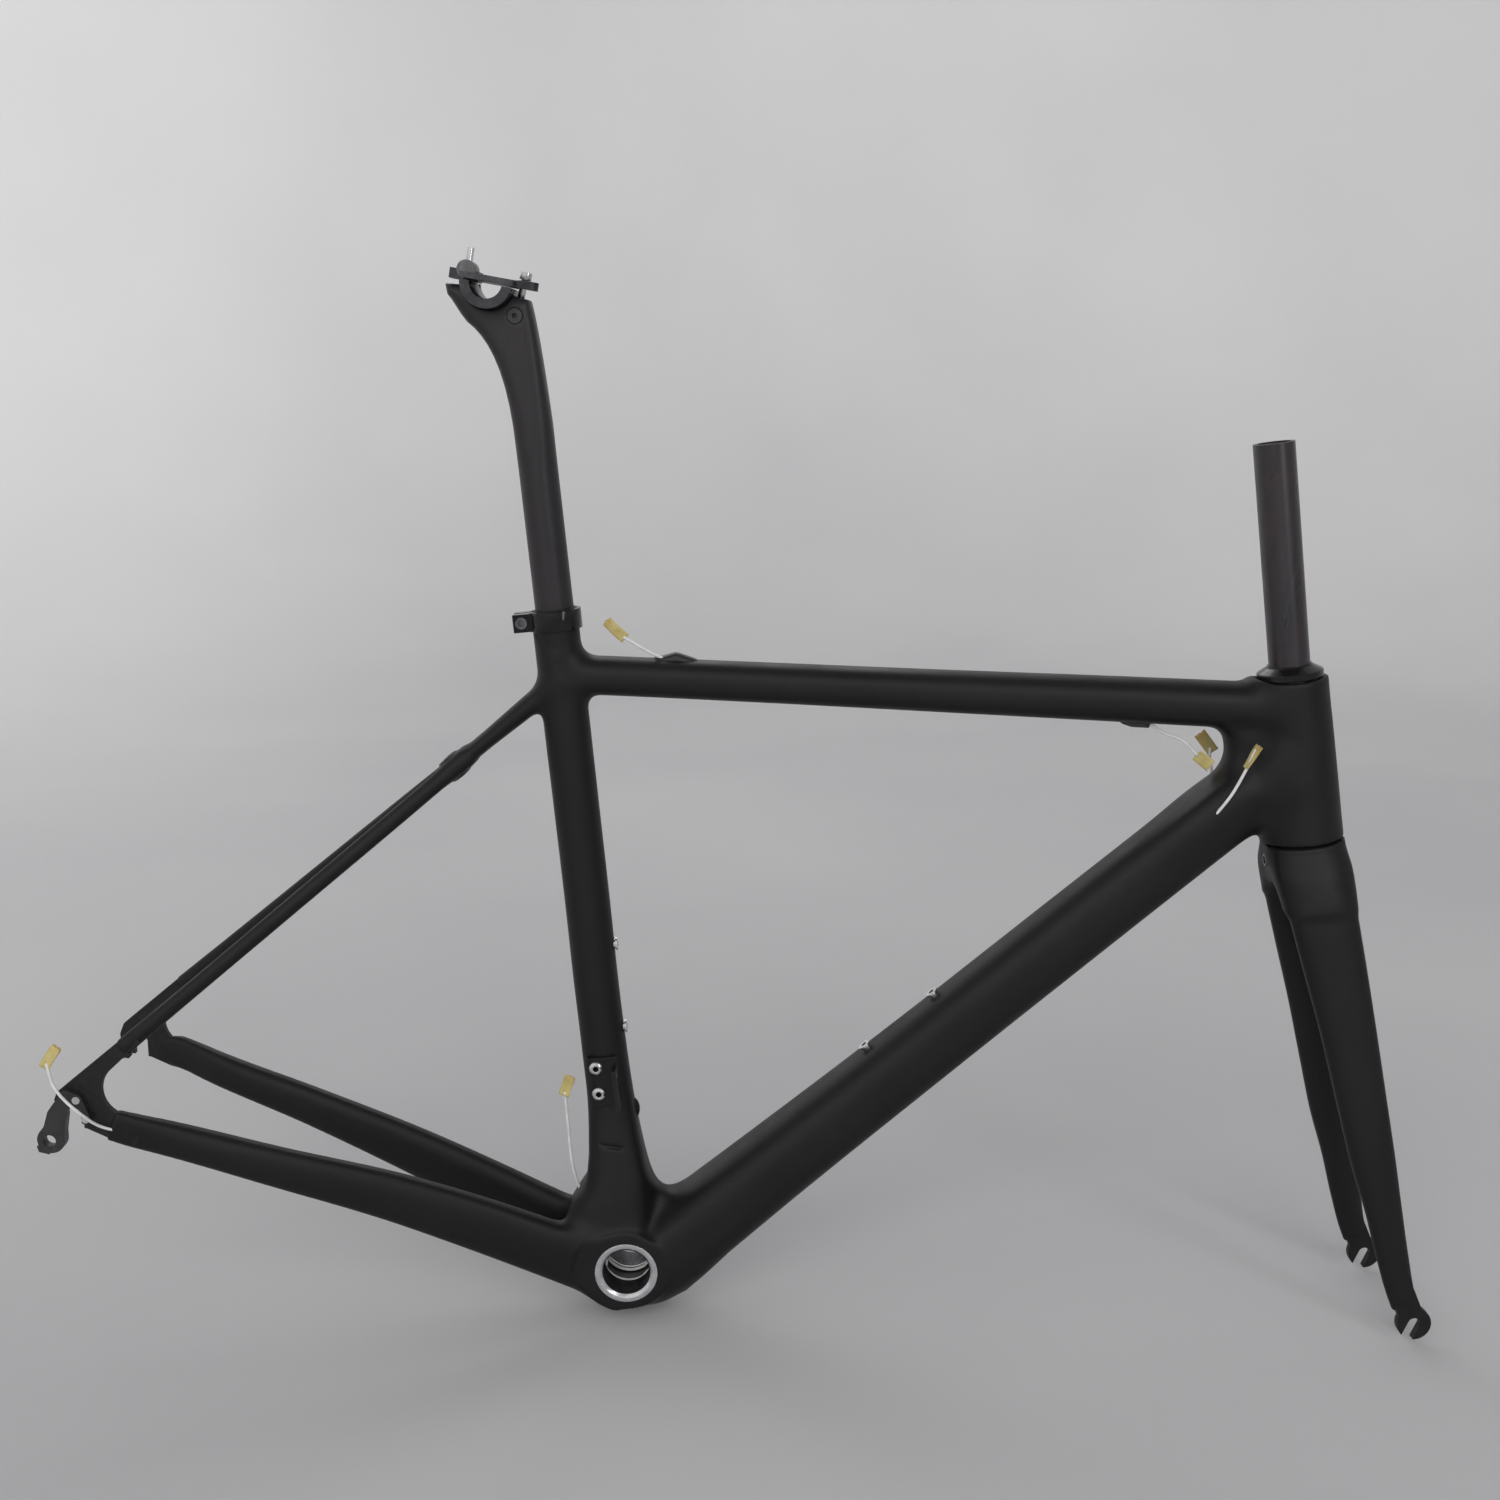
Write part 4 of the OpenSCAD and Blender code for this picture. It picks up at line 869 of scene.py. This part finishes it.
def worn_edge(m, colour, edge_colour):
    """Edges that stand proud show a little lighter, broken up by grain."""
    sharp = m.add("ShaderNodeNewGeometry").outputs["Pointiness"]
    edge = m.span(sharp, 0.0, 0.5, 0.515, 0.60)
    grain = m.span(m.noise(420.0, 4.0), 0.2, 1.0)
    return m.mix(m.calc("MULTIPLY", edge, grain), colour, edge_colour)


def lighter(colour, times, plus):
    return tuple(min(1.0, c * times + plus) for c in colour)


def carbon_paint():
    """Matte black paint over carbon: faint mottling, a fine eggshell grain and dust rubbed on the edges."""
    m = Nodes("matte_carbon")
    cloud = m.ramp(m.noise(7.0, 4.0, 0.6), [
        (0.3, (0.0046, 0.0047, 0.0058)), (0.52, (0.0058, 0.0056, 0.0060)), (0.75, (0.0080, 0.0070, 0.0070))])
    speck = m.span(m.noise(900.0, 2.0), 0.82, 1.18, 0.35, 0.65)
    grey = m.add("ShaderNodeCombineColor", Red=speck, Green=speck, Blue=speck).outputs[0]
    colour = m.mix(1.0, cloud, grey, "MULTIPLY")
    colour = worn_edge(m, colour, (0.022, 0.022, 0.024))
    rough = m.span(m.noise(26.0, 5.0, 0.65), 0.40, 0.54)
    normal = m.bump(m.noise(1500.0, 2.0), 0.10, 0.0002)
    normal = m.bump(m.noise(16.0, 2.0), 0.06, 0.002, normal)
    return m.finish(Base_Color=colour, Roughness=rough, Normal=normal, IOR=1.42, Specular_IOR_Level=0.36)


def satin_carbon():
    """The seatpost's finish: a little lighter and smoother than the frame's, with fine long scuffs."""
    m = Nodes("satin_carbon")
    cloud = m.ramp(m.noise(9.0, 4.0, 0.6), [
        (0.3, (0.011, 0.010, 0.012)), (0.55, (0.014, 0.012, 0.014)), (0.78, (0.019, 0.016, 0.018))])
    colour = worn_edge(m, cloud, (0.045, 0.043, 0.045))
    scuff = m.noise(420.0, 3.0, 0.6, (1, 1, 0.06), (0, SEAT_ANGLE - math.pi / 2, 0))
    rough = m.span(scuff, 0.36, 0.50)
    normal = m.bump(m.noise(1300.0, 2.0), 0.08, 0.0002)
    return m.finish(Base_Color=colour, Roughness=rough, Normal=normal, IOR=1.45)


def bare_carbon():
    """Unpainted carbon of the steerer: long fibre streaks, with a reddish and bluish sheen painted into
    their colour.
    """
    m = Nodes("bare_carbon")
    upright = (0, math.pi / 2 - HEAD_ANGLE, 0)
    streak = m.noise(120.0, 5.0, 0.65, (1, 1, 0.035), upright)
    # Fibre grain, and in its lighter reddish and bluish stops a painted sheen.
    colour = m.ramp(streak, [(0.25, (0.006, 0.006, 0.008)), (0.45, (0.020, 0.013, 0.014)),
                             (0.6, (0.011, 0.011, 0.015)), (0.78, (0.040, 0.029, 0.029))])
    rough = m.span(m.noise(200.0, 4.0, 0.6, (1, 1, 0.05), upright), 0.26, 0.46)
    wrap = m.noise(60.0, 2.0, 0.5, (0.06, 0.06, 1), upright)
    normal = m.bump(wrap, 0.05, 0.0006, m.bump(streak, 0.12, 0.0002))
    return m.finish(Base_Color=colour, Roughness=rough, Normal=normal, Coat_Weight=0.25, Coat_Roughness=0.3)


def metal(name, low, high, rough, grain=700.0):
    """Metal that varies between two colours."""
    m = Nodes(name)
    colour = m.mix(m.span(m.noise(90.0, 4.0), 0.0, 1.0), low, high)
    colour = worn_edge(m, colour, lighter(high, 1.5, 0.03))
    patchy = m.span(m.noise(grain * 0.4, 4.0, 0.6), rough * 0.75, rough * 1.3)
    normal = m.bump(m.noise(grain, 3.0, 0.6), 0.08, 0.0002)
    return m.finish(Base_Color=colour, Roughness=patchy, Normal=normal, Metallic=1.0)


def machined_ring():
    """Bright turned alloy: tool marks run round the shell's axis."""
    m = Nodes("machined_alloy")
    tool_marks = 16000.0
    across = m.calc("MULTIPLY", m.coords, (1, 0, 1), kind="ShaderNodeVectorMath")
    radius = m.calc("LENGTH", across, kind="ShaderNodeVectorMath")
    wave = m.calc("SINE", m.calc("MULTIPLY", radius, tool_marks))
    colour = m.mix(m.span(m.noise(120.0, 4.0), 0, 1), (0.66, 0.67, 0.69), (0.84, 0.85, 0.86))
    rough = m.span(m.noise(300.0, 3.0), 0.16, 0.30)
    return m.finish(Base_Color=colour, Roughness=rough, Normal=m.bump(wave, 0.08, 0.0001), Metallic=1.0)


def plastic(name, low, high, rough, gloss=0.0, level=0.5):
    """Plastic, rubber or black anodising that varies between two colours."""
    m = Nodes(name)
    colour = m.mix(m.span(m.noise(60.0, 4.0), 0, 1), low, high)
    colour = worn_edge(m, colour, lighter(high, 1.6, 0.012))
    patchy = m.span(m.noise(150.0, 4.0), rough * 0.8, rough * 1.2)
    normal = m.bump(m.noise(500.0, 3.0), 0.08, 0.0002)
    return m.finish(Base_Color=colour, Roughness=patchy, Normal=normal, Coat_Weight=gloss,
                    Coat_Roughness=0.08, Specular_IOR_Level=level)


def liner_plastic():
    """Thin clear-white nylon liner, slightly milky."""
    m = Nodes("liner_nylon")
    colour = m.mix(m.span(m.noise(150.0, 3.0), 0, 1), (0.60, 0.61, 0.60), (0.74, 0.75, 0.74))
    rough = m.span(m.noise(400.0), 0.28, 0.42)
    normal = m.bump(m.noise(900.0), 0.05, 0.0002)
    return m.finish(Base_Color=colour, Roughness=rough, Normal=normal, Subsurface_Weight=0.25,
                    Subsurface_Scale=0.001)


def paper_tape():
    """Crepe paper tape: fine cross ridges, uneven pale yellow, a little light through it."""
    m = Nodes("paper_tape")
    ridges = m.noise(900.0, 3.0, 0.6, (1.0, 0.25, 1.0))
    blot = m.noise(140.0, 4.0, 0.6)
    colour = m.ramp(blot, [(0.3, (0.44, 0.34, 0.11)), (0.5, (0.55, 0.43, 0.16)), (0.72, (0.62, 0.50, 0.23))])
    colour = m.mix(m.span(ridges, 0, 0.25), colour, (0.40, 0.32, 0.13))
    normal = m.bump(ridges, 0.3, 0.0004)
    return m.finish(Base_Color=colour, Roughness=m.span(blot, 0.5, 0.7), Normal=normal,
                    Subsurface_Weight=0.2, Subsurface_Scale=0.002)


def dress(obj, *materials):
    """Gives a new piece its materials and keeps which face wears which."""
    places = [face.material_index for face in obj.data.polygons]
    obj.data.materials.clear()
    for material in materials:
        obj.data.materials.append(material)
    obj.data.polygons.foreach_set("material_index", places)


def dress_nodes(material, *names):
    """Gives kept CAD nodes a finish."""
    for name in names:
        obj = frame["nodes"][name]
        for slot in obj.material_slots:
            slot.material = material
        if not obj.material_slots:
            obj.data.materials.append(material)


def soften(*names):
    """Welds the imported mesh's split corners and rounds its sharp edges."""
    for name in names:
        obj = frame["nodes"][name]
        weld = obj.modifiers.new("weld", "WELD")
        weld.merge_threshold = 0.004 * MM
        bevel = obj.modifiers.new("edge", "BEVEL")
        bevel.width, bevel.segments = 0.35 * MM, 2
        bevel.limit_method, bevel.angle_limit = "ANGLE", math.radians(38)
        bevel.harden_normals = True


# ---- Stage, light and camera ----

# The part stands level; floor and camera lean, because the frame in the photo leans nose down.
LEAN = 0.1757
FLOOR_NORMAL = Vector((-LEAN, 0.0, 0.9844)).normalized()
FLOOR_HEIGHT = -0.0445
FLOOR_R, TURN_R, WALL_TOP = 2.6, 1.6, 7.0


def build_stage():
    """A pale seamless bowl: a flat floor that turns up into a wall all round, out of every camera's way."""
    profile = [(1.0, 0.0), (2.0, 0.0), (FLOOR_R, 0.0)]
    for i in range(1, 13):
        t = 0.5 * math.pi * i / 12
        profile.append((FLOOR_R + TURN_R * math.sin(t), TURN_R * (1 - math.cos(t))))
    profile.append((FLOOR_R + TURN_R, WALL_TOP))
    segments, points, faces = 96, [], []
    for r, h in profile:
        for k in range(segments):
            a = 2 * math.pi * k / segments
            points.append((r * math.cos(a), r * math.sin(a), h))
    points.append((0, 0, 0))
    for j in range(len(profile) - 1):
        for k in range(segments):
            m = (k + 1) % segments
            inner, outer = j * segments, (j + 1) * segments
            faces.append((inner + k, outer + k, outer + m, inner + m))
    faces += [(len(points) - 1, k, (k + 1) % segments) for k in range(segments)]
    floor = make_object("floor", np.array(points) / MM, faces)
    turn = Vector((0, 0, 1)).rotation_difference(FLOOR_NORMAL).to_matrix().to_4x4()
    floor.matrix_world = Matrix.Translation(FLOOR_NORMAL * FLOOR_HEIGHT) @ turn
    floor.visible_shadow = False
    dress(floor, stage_paper())


def stage_paper():
    """Plain pale paper with painted light: an emission makes it glow a little up the wall and to the left,
    where the room is brighter.

    From below it is see-through, so that a view from there isn't blocked.
    """
    m = Nodes("stage_paper")
    colour = m.mix(m.span(m.noise(1.1, 3.0, 0.5), 0, 1), (0.50, 0.505, 0.515), (0.56, 0.56, 0.565))
    place = m.add("ShaderNodeSeparateXYZ", Vector=m.coords)
    # Painted light: the emission grows up the wall and towards the left.
    rise = m.span(place.outputs["Z"], 0.0, 0.10, 0.0, 1.6)
    side = m.span(place.outputs["X"], 0.24, 0.0, -2.5, -0.5)
    m.finish(Base_Color=colour, Roughness=0.95, Normal=m.bump(m.noise(90.0), 0.04, 0.002),
             Emission_Color=(1.0, 0.97, 0.965), Emission_Strength=m.calc("ADD", rise, side))
    clear = m.add("ShaderNodeBsdfTransparent")
    mixer = m.add("ShaderNodeMixShader")
    m.plug(mixer.inputs[0], m.add("ShaderNodeNewGeometry").outputs["Backfacing"])
    m.plug(mixer.inputs[1], m.shader.outputs[0])
    m.plug(mixer.inputs[2], clear.outputs[0])
    m.plug(m.tree.nodes["Material Output"].inputs["Surface"], mixer.outputs[0])
    return m.material


def area_light(name, place, target, size, power, colour=(1, 1, 1)):
    data = bpy.data.lights.new(name, "AREA")
    data.shape, data.size, data.size_y = "RECTANGLE", size[0], size[1]
    data.energy, data.color = power, colour
    obj = bpy.data.objects.new(name, data)
    obj.location = place
    obj.rotation_euler = (Vector(target) - Vector(place)).to_track_quat("-Z", "Y").to_euler()
    bpy.context.scene.collection.objects.link(obj)


def build_lights():
    world = bpy.data.worlds.new("soft_room")
    world.use_nodes = True
    background = world.node_tree.nodes["Background"].inputs
    background["Color"].default_value = (0.93, 0.95, 1.0, 1)
    background["Strength"].default_value = 0.28
    bpy.context.scene.world = world
    soft = bpy.data.lights.new("window", "SUN")
    soft.energy, soft.angle, soft.color = 1.56, math.radians(50), (1.0, 0.985, 0.97)
    window = bpy.data.objects.new("window", soft)
    window.rotation_euler = Vector((0.2, 0.9, -0.38)).to_track_quat("-Z", "Y").to_euler()
    bpy.context.scene.collection.objects.link(window)
    area_light("strip", (1.3, -1.9, 1.5), (0, 0, 0.35), (0.35, 1.5), 9, (0.97, 0.98, 1.0))
    area_light("back", (-0.6, 2.0, 1.9), (0, 0, 0.3), (1.6, 1.0), 8)


def build_camera():
    """The photo's view: almost square to the frame's right side, from a little above."""
    right, up = Vector((0.9844, 0.0, LEAN)), Vector((-0.1719, 0.2075, 0.9630))
    data = bpy.data.cameras.new("photo_camera")
    data.lens, data.sensor_width = 41.95, 36.0
    obj = bpy.data.objects.new("photo_camera", data)
    turn = Matrix((right, up, right.cross(up))).transposed().to_4x4()
    obj.matrix_world = Matrix.Translation(Vector((-0.0236, -1.2246, 0.6564))) @ turn
    bpy.context.scene.collection.objects.link(obj)
    bpy.context.scene.camera = obj
    bpy.context.scene.view_settings.view_transform = "Standard"


# ---- Put together ----

def build_skins(paint):
    frame_nodes = ("front_triangle", "chainstay_right", "chainstay_left", "seatstays")
    skins = ((build_frame_skin(), paint, frame_nodes),
             (build_fork_skin(), paint, ("fork_blades",)),
             (build_post_skin(), satin_carbon(), ("seatpost",)))
    for piece, finish, nodes in skins:
        dress(settle(piece, nodes[0], *nodes), finish)


def build_hardware():
    guide = plastic("peaked_port_plastic", (0.008, 0.008, 0.009), (0.014, 0.014, 0.015), 0.4)
    rubber = plastic("plug_rubber", (0.003, 0.003, 0.003), (0.006, 0.006, 0.006), 0.5, level=0.3)
    dress(build_rear_port(), guide)
    dress(build_exit_plug(), rubber)
    rivet_steel = metal("rivet_steel", (0.55, 0.55, 0.55), (0.78, 0.78, 0.77), 0.2)
    for rivet in build_rivets():
        dress(rivet, rivet_steel)
    alloy = machined_ring()
    # Alloy for the thread, coloured far darker than the flange: painted shade for the inside of the shell's
    # bore.
    thread = metal("thread_alloy", (0.10, 0.10, 0.105), (0.20, 0.20, 0.205), 0.5)
    for node, side in (("bb_cup_right", -1), ("bb_cup_left", 1)):
        dress(settle(bb_cup(node + "_turned", side), node, node), alloy, thread)
    nylon, tape = liner_plastic(), paper_tape()
    for liner in build_liners():
        dress(liner, nylon)
    for flag in build_tapes():
        dress(flag, tape)


def dress_hardware(paint):
    steel = metal("bright_steel", (0.52, 0.52, 0.53), (0.74, 0.74, 0.75), 0.22)
    dark_steel = metal("dark_steel", (0.10, 0.10, 0.105), (0.19, 0.19, 0.20), 0.34)
    bearing = metal("bearing_steel", (0.36, 0.36, 0.37), (0.5, 0.5, 0.51), 0.18)
    brass = metal("cage_brass", (0.42, 0.30, 0.12), (0.55, 0.40, 0.18), 0.35)
    nut = metal("grey_barrel_nut", (0.10, 0.10, 0.105), (0.16, 0.16, 0.165), 0.42)
    black, near_black = (0.003, 0.003, 0.0035), (0.007, 0.007, 0.008)
    anodised = plastic("black_anodised", black, near_black, 0.4, level=0.3)
    gloss = plastic("gloss_anodised", black, near_black, 0.16, 0.12, level=0.3)
    satin = plastic("satin_anodised", (0.012, 0.012, 0.014), (0.024, 0.023, 0.024), 0.42)
    moulded = plastic("port_plastic", (0.008, 0.008, 0.009), (0.014, 0.014, 0.015), 0.36)
    clamp = metal("grey_anodised_clamp", (0.045, 0.046, 0.05), (0.08, 0.08, 0.085), 0.36, 900.0)
    dress_nodes(gloss, "seat_collar", "headset_cover")
    dress_nodes(clamp, "upper_clamp", "lower_cradle")
    dress_nodes(satin, "derailleur_hanger", "front_barrel_nut")
    dress_nodes(anodised, "front_mech_bracket")
    dress_nodes(paint, "dropout_right", "dropout_left", "fork_ends")
    dress_nodes(steel, "hanger_screws", "front_clamp_bolt", "rear_clamp_bolt", "bottle_bosses")
    dress_nodes(dark_steel, "rear_brake_sleeve", "front_brake_sleeve", "seat_collar_bolt",
                "crown_race", "compression_ring")
    dress_nodes(nut, "rear_barrel_nut")
    dress_nodes(moulded, "brake_port_front", "gear_port_right", "gear_port_left")
    dress_nodes(bearing, "upper_outer_race", "lower_outer_race", "lower_inner_race", "upper_inner_race",
                "upper_bearing_balls", "lower_bearing_balls")
    dress_nodes(brass, "upper_ball_cage", "lower_ball_cage")
    dress_nodes(bare_carbon(), "steerer_tube")
    soften("seat_collar", "upper_clamp", "derailleur_hanger", "front_mech_bracket", "dropout_right",
           "dropout_left", "fork_ends", "lower_cradle", "rear_barrel_nut", "front_clamp_bolt",
           "rear_clamp_bolt", "seat_collar_bolt")


paint = carbon_paint()
build_skins(paint)
build_hardware()
dress_hardware(paint)
build_stage()
build_lights()
build_camera()
